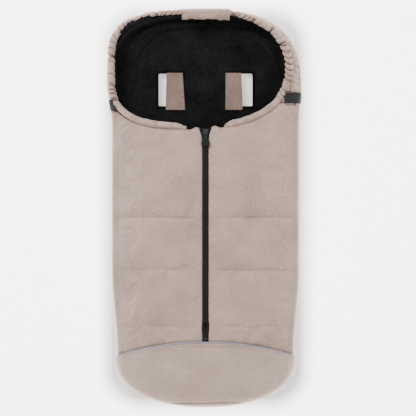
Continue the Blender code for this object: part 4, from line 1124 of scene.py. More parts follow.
@dataclass
class Hood:
    """The hood: its outer wall, its wadding and fleece, and the gathered rim with its elastic.

    Turns are degrees round the mouth, from 0 at the right over 90 at the head.

    Attributes:
        palette: the finishes.
        strap_y: where the hood meets the cover, under the side bands.
        gather: length of one gather along the rim.
        middle: the point that the wall's columns turn round.
        lap: how far the wall runs on under the cover, in degrees.
        rim_span: the turns at which the rim meets the right and the left hem.
        cord_span: the same for the elastic inside it.
        rim_sides: points round the rim's tube.
        wall_rows_count: rows of the wall, from the side seam to the rim.
    """

    palette: Palette
    strap_y: float = 0.245
    gather: float = 0.0150
    middle: tuple[float, float] = (-0.0134, 0.300)
    lap: float = 2.5
    rim_span: tuple[float, float] = (-28.3, 229.9)
    cord_span: tuple[float, float] = (-27.5, 229.0)
    rim_sides: int = 30
    wall_rows_count: int = 34

    # Turn and radius of the rim's tube
    RIM_RADII = (
        (-60, 0.0078), (0, 0.0085), (30, 0.0080), (60, 0.0064), (90, 0.0048), (125, 0.0054), (145, 0.0070),
        (165, 0.0074), (240, 0.0075),
    )
    # Turn and width, in degrees, of the pleats that are deeper than the rest
    DEEP_PLEATS = (
        (120.5, 1.0), (108.0, 0.9), (70.0, 1.6), (55.0, 1.1), (38.0, 1.2), (22.0, 1.0), (152.0, 1.0),
        (176.0, 1.0),
    )

    def tube_radius(self, turn: Array) -> Array:
        """Radius of the rim's tube: thin at the top left, thick on the right."""
        return interpolate(np.degrees(turn), self.RIM_RADII)

    def rim_line(self, turn: Array) -> Array:
        """The middle line of the rim's tube, over the edge of the fleece."""
        radius = self.tube_radius(turn)
        x, y = MOUTH.point(turn, radius * 0.95)
        z = FORM.dome(x * 0.985, y, 0.0) - 0.0035
        return np.column_stack([x, y, z])

    def ruffle(self, arc: Array, seed: int) -> Array:
        """Gathers along an arc, from 0 in a pleat to 1 on a lobe.

        A lobe is the root of a half sine wave, so it is puffy and the pleat beside it is sharp. Noise
        bends the arc first, so no two lobes have one length.
        """
        warp = arc + 0.45 * self.gather * noise(arc, arc * 0, 1.7 * self.gather, seed)
        lobes = np.abs(np.sin(math.pi * warp / self.gather)) ** 0.7
        fine_arc = arc + 0.4 * self.gather * noise(arc, arc * 0, 0.8 * self.gather, seed + 3)
        fine = np.abs(np.sin(math.pi * fine_arc / (0.41 * self.gather))) ** 0.8
        strength = 0.75 + 0.45 * noise(arc, arc * 0, 4.1 * self.gather, seed + 1)
        return np.clip(1 - strength * (0.68 * (1 - lobes) + 0.36 * (1 - fine)), 0, 1)

    def pleats(self, turn: Array) -> Array:
        """The few pleats that the photograph shows deeper than the rest."""
        deep = np.zeros(np.shape(turn))
        for place, width in self.DEEP_PLEATS:
            deep += np.exp(-(((np.degrees(turn) - place) / width) ** 2))
        return np.clip(deep, 0, 1)

    def rim(self, start: float, stop: float, count: int) -> Surface:
        """The gathered tube between two turns: its radius swells and shrinks along its length."""
        turn = np.radians(np.linspace(start, stop, count))
        path = self.rim_line(turn)
        arc = arc_length(path)
        radius = self.tube_radius(turn)
        degrees = np.degrees(turn)
        drawn = 0.12 + 0.88 * smooth(degrees, -31.0, -19.0) * (1 - smooth(degrees, 200.0, 211.0))
        deep = self.pleats(turn)
        wander = 0.0012 * noise(arc, arc * 0, 0.030, 15)
        path = path + wander[:, None] * np.column_stack([np.cos(turn), np.sin(turn), np.zeros(count)])

        def swell(turns: Array, _: Array) -> Array:
            """The extra radius: lobes at full strength on top and half of it underneath."""
            top = 0.70 + 0.30 * np.sin(turns + 0.6)
            slant = self.ruffle(arc[None] + 0.0060 * np.sin(turns + 0.4), 7)
            share = np.maximum(1.05 * (slant - 0.60) - 0.55 * deep[None], -0.55)
            return radius[None] * share * top * drawn[None]

        grid = tube_grid(path, radius, self.rim_sides, swell)
        around = np.linspace(0, math.tau, self.rim_sides, endpoint=False)[:, None]
        slanted = self.ruffle(arc[None] + 0.0060 * np.sin(around + 0.4), 7)
        # Painted shade: darker in the valleys of the gathers and in the deeper pleats, and a little all along
        # the rim.
        crease = np.clip(0.06 + (2.5 * np.clip(0.71 - slanted, 0, 1) + 0.9 * deep[None]) * drawn[None], 0, 1)
        return Surface(grid, crease, both=True)

    def wall_rows(
        self, turn: Array, depth: float = 0.0, end: float = 1.0, sunk: float = 0.0
    ) -> tuple[Array, Array]:
        """The wall's grid, or a layer's below it, from the side seam up and in to the rim.

        Args:
            turn: the columns' turns.
            depth: how far below the wall's face the layer lies.
            end: how far it reaches, 1 at the rim.
            sunk: how much deeper it lies where the wall is narrow.

        Returns:
            The points and their painted shade, with the seam line under the rim.
        """
        inner = self.rim_line(turn)
        radius = self.tube_radius(turn)
        low = self.seam_point(turn, depth)
        rows, shade_and_seam_rows = [], []
        arc = arc_length(inner)
        across = np.linalg.norm(low[:, :2] - inner[:, :2], axis=1)
        out = inner[:, :2] - self.middle
        out = out / np.linalg.norm(out, axis=1, keepdims=True)
        roomy = smooth(across, 0.012, 0.030)
        lean = 0.0045 * noise(arc, arc * 0, 0.05, 44)
        for share in np.linspace(0, end, self.wall_rows_count):
            plan = low[:, :2] + (inner[:, :2] - low[:, :2]) * share**1.5
            z = FORM.dome(plan[:, 0], plan[:, 1], 0.0, depth) - sunk * (1 - roomy)
            bulge = math.sin(math.pi * share)
            gathers = self.ruffle(arc + lean * (1 - share) * 3, 7) - 0.62
            broad = noise(arc + lean, arc * 0 + share * 0.012, 0.018, 45)
            slack = noise(0.16 * arc + 0.2 * lean, across * share, 0.0075, 46)
            z = z + 0.0030 * bulge**0.8 + 0.0075 * gathers * share**1.8
            z = z + (0.0030 * broad + 0.0055 * slack * roomy) * bulge
            rim_z = inner[:, 2] + 0.30 * radius - min(depth, 0.0075)
            z = z + (rim_z - z) * smooth(np.full(len(z), share), 0.78, 1.0)
            swing = 0.0038 * gathers * share + 0.0016 * broad * (0.35 + share)
            plan = plan + out * (swing * min(1.0, 4 * (1 - share)))[:, None]
            rows.append(np.column_stack([plan, np.maximum(z, FORM.seam_z)]))
            # Painted shade: darker in the valleys of the gathers and of the slack folds, where the broad
            # folds dip, a little all over, and low on the wall by the side seam; tight is the seam line under
            # the rim.
            tight = seam_lines(np.full(len(z), (share - 0.90) * 0.02), 0.0008)
            valley = 0.10 + 2.4 * share**2 * np.clip(0.07 - gathers, 0, 1)
            valley = valley + 1.5 * roomy * bulge * np.clip(-slack - 0.1, 0, 1)
            valley = valley + 0.35 * np.clip(-broad, 0, 1) * bulge
            valley = valley + 0.30 * (1 - smooth(np.full(len(z), share), 0.0, 0.2))
            shade_and_seam_rows.append(np.clip(valley + 0.55 * tight, 0, 1))
        return np.stack(rows), np.stack(shade_and_seam_rows)

    def seam_point(self, turn: Array, inset: float = 0.0) -> Array:
        """The side seam's point behind each turn of the rim, found along a ray from the mouth's middle."""
        middle = np.array(self.middle)
        ray = self.rim_line(turn)[:, :2] - middle
        least = np.linalg.norm(ray, axis=1) if inset < 0.008 else np.zeros(len(turn))
        ray = ray / np.linalg.norm(ray, axis=1, keepdims=True)
        low, high = np.zeros(len(turn)), np.full(len(turn), 0.40)
        for _ in range(36):
            half = (low + high) / 2
            place = middle + ray * half[:, None]
            inside = FORM.spread_and_reach(place[:, 0], place[:, 1], inset)[0] < 0.9995
            low, high = np.where(inside, half, low), np.where(inside, high, half)
        place = middle + ray * np.maximum(low, least + 0.0012)[:, None]
        return np.column_stack([place, np.full(len(turn), FORM.seam_z)])

    def span(self) -> tuple[float, float]:
        """The turns, in degrees, where the hood wall meets the cover at the strap line."""
        turn = np.radians(np.linspace(-80, 0, 400))
        right = turn[np.argmin(np.abs(self.seam_point(turn)[:, 1] - self.strap_y))]
        left = np.radians(np.linspace(180, 260, 400))
        other = left[np.argmin(np.abs(self.seam_point(left)[:, 1] - self.strap_y))]
        return math.degrees(right), math.degrees(other)

    def wall(self, turn: Array) -> Surface:
        """The outer wall, swollen between the side seam and the rim where it is wide enough."""
        rows, crease = self.wall_rows(turn)
        face = Surface(rows, crease, thickness=0.0015)
        share = np.linspace(0, 1, len(rows))[:, None] + 0 * crease
        held = 1 - smooth(share, 0.0, 0.12) * (1 - smooth(share, 0.72, 0.86))
        held[:, :4] = held[:, -4:] = 1.0
        depth = np.linalg.norm(rows[-1, :, :2] - rows[0, :, :2], axis=1)
        roomy = smooth(depth, 0.012, 0.030)[None, :, None]
        stuffing = Stuffing(growth=0.03, most=0.0032, pressure=0.8)
        face.points = face.points + roomy * stuffing.moves(face, held, (3, 3))
        return face

    def build(self) -> None:
        """The wall, its wadding and fleece, the rim and its elastic."""
        start, stop = self.span()
        turn = np.radians(np.linspace(start - self.lap, stop + self.lap, 900))
        fill = Surface(self.wall_rows(turn, 0.0028, 0.55, 0.009)[0], thickness=0.0030)
        fleece = Surface(self.wall_rows(turn, 0.0104)[0], thickness=0.0020)
        halves = ("left_hood_wadding", "right_hood_wadding")
        rim = self.rim(*self.rim_span, 2200)
        rims = ("left_hood_rim", "right_hood_rim")
        beige = "polyester_poplin_beige"
        cloth = "woven_polyester"
        grey = "elastic_webbing_grey"
        cord_path = self.rim_line(np.radians(np.linspace(*self.cord_span, 500)))
        cord = Surface(tube_grid(cord_path, np.full(len(cord_path), ELASTIC_RADIUS), 10), both=True)
        for surface, name, finish, slot, nodes, full in (
            (self.wall(turn), "hood_wall_cloth", beige, cloth, ("hood_shell",), 0.6),
            (fill, "hood_wadding_fill", "fibre_wadding_white", "polyester_wadding", halves, 0.6),
            (fleece, "hood_fleece_lining", "coral_fleece_black", "coral_fleece", ("hood_lining",), 0.5),
            (rim, "hood_rim_gathered", beige, cloth, rims, 0.7),
            (cord, "hood_rim_elastic_cord", grey, "elastic_webbing", ("hood_rim_elastic",), 0.0),
        ):
            obj = surface.build(name, self.palette[finish])
            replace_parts(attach(obj, "bag"), *nodes)


@dataclass
class CoverHalf:
    """One half of the quilted cover: the fixed side, the lapel and its hem.

    Attributes:
        side: the half's side.
        palette: the finishes.
        fold_foot: x and y of the fold line's foot end; not used.
        fold_head: the same for its head end, on the right; not used.
        fold_z: its height; not used.
        zip_half: half the gap between the two halves' edges.
        zip_bed_z: height of the cover beside the zip.
        parting_y: from the first place to the second the edges part, above the closed foot end.
        head_y: the last row at the zip, before the rows bend.
        bend_y: where the rows begin to bend to the mouth's edge.
        corner_y: the top edge's place at the side seam.
        slider_y: middle of the slider's lowest place, where the edges are set back.
        slider_low_y: where the lapel's tape starts and the closed end's tape stops.
        tape_head_y: the tape's head end, and where it is parted below it.
        end_tape_y: foot end of the closed end's tape, and where that is parted.
        hem_out: how far outside the mouth's edge the hem's middle line lies.
        hem_ends: the hem's x beside the rim and beside the zip.
        hem_depth: width of the hem over the cover's edge.
        row_shade: painted shade of the quilting's lines, with their stitches, in the upper and in the lower
            rows.
        puff: moves of the swollen cloth, found by swell.
    """

    side: Side
    palette: Palette
    fold_foot: tuple[float, float] = (0.0, -0.310)
    fold_head: tuple[float, float] = (0.150, 0.2125)
    fold_z: float = 0.0808
    zip_half: float = 0.0059
    zip_bed_z: float = 0.0798
    parting_y: tuple[float, float] = (-0.326, -0.322)
    head_y: float = 0.190
    bend_y: float = 0.060
    corner_y: float = 0.2475
    slider_y: float = -0.2785
    slider_low_y: float = -0.2713
    tape_head_y: tuple[float, float] = (0.186, 0.1770)
    end_tape_y: tuple[float, float] = (-0.3235, -0.2795)
    hem_out: float = 0.0075
    hem_ends: tuple[float, float] = (0.172, 0.0445)
    hem_depth: dict[Side, float] = field(default_factory=lambda: {Side.LEFT: 0.0150, Side.RIGHT: 0.0125})
    row_shade: dict[Side, tuple[float, float]] = field(
        default_factory=lambda: {Side.LEFT: (0.44, 0.04), Side.RIGHT: (0.42, 0.32)}
    )
    puff: Array | None = None

    def top_y(self, x: Array) -> Array:
        """The cover's top edge: under the hem round the mouth, then straight to the side seam."""
        edge = MOUTH.low_y(x, self.hem_depth[self.side])
        lobe = 0.0045 * np.exp(-(((np.abs(x) - 0.0215) / 0.0085) ** 2))
        dip = 0.0015 * np.exp(-(((np.abs(x) - 0.036) / 0.006) ** 2))
        return np.minimum(edge + lobe - dip, self.corner_y)

    def grid(
        self, depth: float = 0.0, rows: int = 300, columns: int = 130, lap: float = 0.0, rise: float = 0.0
    ) -> Surface:
        """The half's face as rows across from the zip to the side seam.

        Columns crowd towards the seam, where the dome falls away, and the top rows bend to the mouth.

        Args:
            depth: how far below the cover's face the layer lies.
            rows: its rows from the foot to the mouth.
            columns: its columns from the zip to the seam.
            lap: how much further from the zip it starts.
            rise: how far it rises there, to meet the layer over it.

        Returns:
            The layer, without its thickness.
        """
        sign = self.side.value
        share = np.linspace(0, 1, columns)[None, :]
        eased = 1 - (1 - share) ** 2.1
        low_y = FORM.foot_tip_y + 0.0015 + depth
        nominal = np.linspace(0, 1, rows)[:, None]
        base_y = low_y + (self.head_y - low_y) * nominal
        rolled = smooth(base_y, self.parting_y[0], self.parting_y[0] + 0.008)
        edge = self.zip_half + 0.0080 * smooth(base_y, 0.162, 0.193) ** 1.3
        edge = edge + 0.0011 * np.exp(-(((base_y - self.slider_y) / 0.014) ** 4))
        edge = edge + lap + 0.0062 * (lap > 0) * (1 - smooth(base_y, -0.262, -0.240))
        edge = edge * smooth(base_y, *self.parting_y) + 0.0001
        reach = FORM.half_width(base_y, sign, depth)
        wide = np.maximum(reach, edge + 0.0005)
        x = sign * (edge + (wide - edge) * eased)
        lift = smooth(base_y, self.bend_y, self.head_y) ** 1.5
        top = self.top_y(x)
        y = base_y + lift * (top - self.head_y)
        wide = np.maximum(FORM.half_width(y, sign, depth), edge + 0.0005)
        x = sign * (edge + (wide - edge) * eased)
        z = FORM.dome(x, y, 0.0, depth)
        dip, line = QUILTING.dip(x, y)
        inside = 1 - eased**8
        puffed = smooth(np.abs(x), self.zip_half, 0.035) * (1 - smooth(eased, 0.80, 1.0))
        z = z - dip * inside * puffed**0.3 + crumple(x, y, 50 + sign) * inside * puffed
        z = z + self.diagonals(x, y) * inside
        from_top = top - y
        z = z - 0.0032 * np.exp(-((from_top / 0.006) ** 2)) * smooth(np.abs(x), 0.02, 0.05)
        z = np.where((np.abs(x) < 0.018) & (y > -0.335), np.maximum(z, self.zip_bed_z - depth), z)
        z = z + rise * (1 - smooth(np.abs(x) - edge, 0.0005, 0.006)) * rolled
        roll = np.clip(1 - (np.abs(x) - edge) / 0.0035, 0, 1) * rolled
        z = z - 0.0030 * (1 - np.sqrt(np.clip(1 - roll**2, 0, 1)))
        stitch = seam_lines(np.abs(x) - edge - 0.0042, 0.0006) * smooth(base_y, -0.32, -0.30)
        # Painted shade along the quilting's stitched lines, row_shade deep, and the stitch line beside the
        # zip.
        upper, lower = self.row_shade[self.side]
        crease = np.where(y >= -0.08, upper, lower) * line * inside + 0.28 * stitch
        # Painted shadow just under the hem, and painted shade in the valleys of the crumples.
        crease = crease + 0.50 * seam_lines(from_top - 0.001, 0.0022)
        crease = crease + 0.20 * np.clip(-crumple(x, y, 50 + sign) / 0.0016, 0, 1)
        # Painted shadow of the foot cap's edge on the cover, just above it.
        over_cap = y - FORM.cap_edge(x) - 0.0040
        crease = crease + 0.72 * np.exp(-((np.abs(over_cap) / np.where(over_cap > 0, 0.0050, 0.0025)) ** 1.5))
        # Painted shade on the side roll, towards the side seam.
        crease = crease + 0.45 * smooth(eased, 0.90, 1.0)
        points = np.stack([x, y, z], axis=2)
        if self.puff is not None:
            pick_r, pick_c = (np.linspace(0, n - 1, m) for n, m in zip((rows, columns), self.puff.shape))
            points = points + spread_out(self.puff, pick_r, pick_c, rows, columns)
        return Surface(self.ordered(points), self.ordered(np.clip(crease, 0, 1)))

    def swell(self) -> None:
        """Lets the cover's cloth swell between its sewn lines, once for all three layers."""
        face = self.grid(rows=150, columns=60)
        x, y = self.ordered(face.points)[..., 0], self.ordered(face.points)[..., 1]
        held = np.maximum(1 - smooth(np.abs(x), 0.014, 0.032), smooth(np.abs(x), 0.160, 0.198))
        for row, hold in zip(QUILTING.rows, (1.0, 1.0, 0.5)):
            held = np.maximum(held, hold * np.exp(-(((y - row) / 0.0045) ** 2)))
        held = np.maximum(held, 1 - smooth(y, -0.330, -0.310))
        held = np.maximum(held, smooth(y - self.top_y(x), -0.016, -0.006))
        move = Stuffing(growth=0.013, most=0.0036).moves(face, self.ordered(held), (2, 2))
        self.puff = self.ordered(move)

    def ordered(self, grid: Array) -> Array:
        """The grid with its outer face up on either side."""
        return grid if self.side is Side.RIGHT else grid[:, ::-1]

    def diagonals(self, x: Array, y: Array) -> Array:
        """Folds that run down and inwards from the ends of the hem."""
        along = (y - 0.235) + 0.75 * (np.abs(x) - 0.205)
        where = np.exp(-(((np.abs(x) - 0.195) / 0.030) ** 2)) * np.exp(-(((y - 0.205) / 0.035) ** 2))
        return -0.0026 * where * (0.5 + 0.5 * np.cos(along / 0.0032 + 2 * noise(x, y, 0.04, 9)))

    def bend(self, obj: bpy.types.Object, slot: str, *nodes: str) -> bpy.types.Object:
        """Bakes a piece's placement into its mesh, and hides the CAD nodes that it replaces."""
        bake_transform(obj)
        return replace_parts(obj, *nodes)

    def mirrored(self, turn: Array) -> Array:
        """Turns round the mouth, given for the left side, on this side."""
        return turn if self.side is Side.LEFT else math.pi - turn

    def hem_turns(self, count: int) -> Array:
        """Turns round the mouth from the end of the rim to the end of the hem beside the zip."""
        turn = np.linspace(math.pi, 1.5 * math.pi, 900)
        reach = np.abs(MOUTH.point(self.mirrored(turn), self.hem_out)[0])
        start, stop = (turn[np.argmin(np.abs(reach - end))] for end in self.hem_ends)
        return self.mirrored(np.linspace(start, stop, count))

    def hem_line(self, count: int = 420) -> Array:
        """The middle line of the hem and of its elastic."""
        x, y = MOUTH.point(self.hem_turns(count), self.hem_out)
        return np.column_stack([x, y, FORM.dome(x, y) - 0.0042])

    def hem(self) -> Surface:
        """The padded hem: a smooth rolled tube from the rim's end to beside the zip, lightly puckered."""
        path = self.hem_line()
        count = len(path)
        left = np.linspace(1, 0, count)
        ease = smooth(left, -0.01, 0.13)
        radius = 0.0078 * (0.22 + 0.78 * np.sqrt(ease))
        path[:, 1] -= 0.0042 * (1 - ease)
        path[:, 2] -= 0.0010 * (1 - ease)
        arc = arc_length(path)
        seed = 61 + self.side.value

        def swell(turns: Array, _: Array) -> Array:
            """Soft puckers a centimetre or so apart, with finer ones at the seam."""
            soft = noise(arc[None] + 0.004 * np.sin(turns), turns * 0.003, 0.012, seed)
            fine = noise(arc[None], turns * 0.002, 0.0045, seed + 9)
            return 0.0009 * soft + 0.0004 * fine

        grid = tube_grid(path, radius, 26, swell)
        grid[..., 2] = path[None, :, 2] + (grid[..., 2] - path[None, :, 2]) * 0.92
        # Darker in patches along the hem, following the noise of its puckers.
        crease = 0.30 * np.clip(noise(arc, arc * 0, 0.012, seed), 0, 1)
        crease = crease + 0.15 * np.clip(noise(arc, arc * 0, 0.0045, seed + 9), 0, 1)
        return Surface(grid, np.broadcast_to(crease, grid.shape[:2]).copy(), both=True)

    def tape(self, low_y: float, high_y: float, parted_y: float) -> Surface:
        """This side's half of the zip tape between two places, set back where the slider parts the halves."""
        sign = self.side.value
        y = np.linspace(low_y, high_y, 320)[:, None]
        inner = 0.00005 + 0.0020 * smooth(y, parted_y, parted_y + 0.0015)
        x = sign * (inner + (0.0145 - inner) * np.linspace(0, 1, 16)[None, :])
        z = np.full(x.shape, 0.07835) + 0.00015 * np.sin(y / 0.0012)
        return Surface(self.ordered(np.stack([x, y + 0 * x, z], axis=2)), thickness=0.0007)

    def build(self) -> None:
        """The cover's three layers, its hem with the elastic, and the tape."""
        word = self.side.word
        lapel = word + "_lapel"
        beige = self.palette["polyester_poplin_beige"]
        self.swell()
        face = self.grid()
        face.thickness = 0.0014
        shell = face.build(word + "_cover_cloth", beige)
        self.bend(shell, "woven_polyester", "front_shell", lapel + "_shell")
        for label, depth, thick, lap, rise, columns, finish, slot in (
            ("wadding", 0.0032, 0.0038, 0.0080, 0.0, 100, "fibre_wadding_white", "polyester_wadding"),
            ("lining", 0.0087, 0.0025, 0.0008, 0.0035, 110, "coral_fleece_black", "coral_fleece"),
        ):
            layer = self.grid(depth, 180, columns, lap, rise)
            layer.crease = None
            layer.thickness = thick
            obj = layer.build(word + "_cover_" + label, self.palette[finish])
            self.bend(obj, slot, "front_" + label, lapel + "_" + label)
        hem = self.hem().build(word + "_hem_cloth", beige)
        self.bend(hem, "woven_polyester", word + "_hem")
        path = self.hem_line(120)
        cord = Surface(tube_grid(path, np.full(len(path), ELASTIC_RADIUS), 10), both=True)
        obj = cord.build(word + "_hem_elastic_cord", self.palette["elastic_webbing_grey"])
        self.bend(obj, "elastic_webbing", word + "_hem_elastic")
        self.build_tapes()

    def build_tapes(self) -> None:
        """The lapel's tape, and the closed end's half below it."""
        black = self.palette["coated_zip_tape"]
        tape = self.tape(self.slider_low_y, *self.tape_head_y)
        obj = tape.build(self.side.word + "_tape_cloth", black)
        self.bend(obj, "coated_zip_tape", self.side.word + "_zip_tape")
        foot_y, parted_y = self.end_tape_y
        end = self.tape(foot_y, self.slider_low_y - 0.0002, parted_y)
        obj = end.build(self.side.word + "_end_tape_cloth", black)
        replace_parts(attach(obj, "bag"), "zip_end_tape")


@dataclass
class FootCap:
    """The cap over the foot end: front and back in one loft, the sole, and the piped edge.

    Attributes:
        palette: the finishes.
        grown: how far the cap stands off the body.
        rows: loops from the mouth to the tip.
        front_points: points of a loop's front half.
        crowding: how much the points crowd towards the side seams.
        edge_half_width: half width of the cap's front edge.
        seam_y: the sole's seam.
        corner: x and y of the right corner that the folds fan from.
        piping_radius: radius of the piping.
    """

    palette: Palette
    grown: float = 0.0048
    rows: int = 112
    front_points: int = 148
    crowding: float = 1.7
    edge_half_width: float = 0.212
    seam_y: float = -0.4572
    corner: tuple[float, float] = (0.196, -0.352)
    piping_radius: float = 0.0022

    def crowded(self, cross: Array) -> Array:
        """Places from -1 to 1 across the cap, moved towards the side seams."""
        return np.sign(cross) * (1 - (1 - np.abs(cross)) ** self.crowding)

    def loft(self) -> Surface:
        """Loops round the section, from the mouth to the tip, as a sock is knitted.

        The front half of a loop lies on the grown dome and the back half on the grown tray.
        """
        front = self.crowded(np.cos(math.pi * np.linspace(0, 1, self.front_points)))
        tip = FORM.foot_tip_y - self.grown + 0.0004
        points, shade_and_seam_rows = [], []
        for row in range(self.rows):
            share = 0.9993 * (1 - (1 - row / (self.rows - 1)) ** 1.5)
            faces = [self.loop_face(cross, share, tip, cross is front) for cross in (front, -front[1:-1])]
            loop = np.concatenate(faces)
            points.append(loop)
            front_x, front_y = loop[: len(front), 0], loop[: len(front), 1]
            middle = 1 - smooth(np.abs(front_x - 0.004), 0.072, 0.088)
            sewn = middle * seam_lines(front_y - self.seam_y - 0.0012 * np.sin(front_x / 0.03), 0.0017)
            sewn = sewn + 0.35 * seam_lines(front_y - FORM.cap_edge(front_x) + 0.0045, 0.0006)
            seam = np.zeros(len(loop))
            seam[: len(front)] = sewn
            shade_and_seam_rows.append(np.clip(seam, 0, 1))
        points.append(np.broadcast_to([0.0, tip, FORM.seam_z], points[-1].shape))
        shade_and_seam_rows.append(np.zeros(len(points[-1])))
        grid, shade = np.stack(points), np.stack(shade_and_seam_rows)
        groove = 0.0011 * np.exp(-(((grid[..., 1] - self.seam_y) / 0.0022) ** 2))
        cap = Surface(grid, shade, closed=True, thickness=0.0022, welded=True)
        held = np.maximum(1 - smooth(grid[..., 2], 0.045, 0.065), smooth(np.abs(grid[..., 0]), 0.160, 0.195))
        held = np.maximum(held, np.exp(-(((grid[..., 1] - self.seam_y) / 0.004) ** 2)))
        held[:4] = held[-4:] = 1.0
        cap.points = cap.points + Stuffing(growth=0.012, most=0.0030).moves(cap, held, (3, 3))
        cap.points[..., 2] -= groove * (grid[..., 2] > 0.041)
        return cap

    def loop_face(self, cross: Array, share: float, tip: float, front: bool) -> Array:
        """One half of a loop, its front or its back, a share of the way from the mouth to the tip."""
        mouth = FORM.cap_edge(cross * self.edge_half_width)
        y = mouth + (tip - mouth) * share
        x = cross * self.half_width(y)
        if not front:
            return np.column_stack([x, y, np.maximum(FORM.tray(x, y, self.grown), 0.0003)])
        z = FORM.dome(x, y, self.grown)
        fold = crumple(x, y, 71) * 1.1 + self.pulls(x, y)
        z = z + fold * (1 - np.abs(cross) ** 6)
        z = z + 0.0022 * np.exp(-(((mouth - y) / 0.006) ** 2)) * (1 - np.abs(cross) ** 4)
        return np.column_stack([x, y, z])

    def half_width(self, y: Array) -> Array:
        """Half the cap's width at y: the body's, grown and a little looser."""
        down = np.clip((FORM.foot_wide_y - y) / (FORM.foot_wide_y - FORM.foot_tip_y + self.grown), 0, 1)
        foot = (1 - down**2.2) ** (1 / 2.2)
        straight = FORM.half_width(np.maximum(y, FORM.foot_wide_y), 1)
        return (straight + self.grown) * foot

    def pulls(self, x: Array, y: Array) -> Array:
        """Folds that fan in from the two corners, and the puckers at the sole's seam."""
        fold = np.zeros(np.shape(x))
        for sign in (-1, 1):
            dx, dy = x - sign * self.corner[0], y - self.corner[1]
            bearing = np.arctan2(dy, -sign * dx)
            away = np.hypot(dx, dy)
            wave = np.cos(bearing * 9 + 1.3 * noise(x, y, 0.05, 17 + sign))
            fold = fold + 0.0010 * wave * np.exp(-((away - 0.045) / 0.035) ** 2)
        for place in (0.0, 0.0406):
            pucker = np.exp(-(((x - place) / 0.005) ** 2)) * np.exp(-(((y + 0.452) / 0.008) ** 2))
            fold = fold - 0.0018 * pucker
        return fold

    def piping(self) -> Surface:
        """The piping along the front edge, from one side seam to the other."""
        cross = self.crowded(np.linspace(-1, 1, 500))
        y = FORM.cap_edge(cross * self.edge_half_width) + 0.0021
        x = cross * (FORM.half_width(y, 1) + 0.0030)
        z = FORM.dome(x, y, 0.0028) - 0.0002 + 0.6 * crumple(x, y - 0.004, 71) * (1 - np.abs(cross) ** 4)
        path = np.column_stack([x, y, z])
        return Surface(tube_grid(path, np.full(len(path), self.piping_radius), 14), both=True)

    def build(self) -> None:
        """The cap's cloth and its piping, which slide off together."""
        cloth = self.loft().build("foot_cap_cloth", self.palette["polyester_poplin_cap"])
        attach(cloth, "foot_cap")
        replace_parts(cloth, "foot_cap_front", "foot_cap_back", "foot_cap_sole")
        piping = self.piping().build("foot_cap_piping", self.palette["reflective_piping"])
        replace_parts(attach(piping, "foot_cap"), "cap_piping")


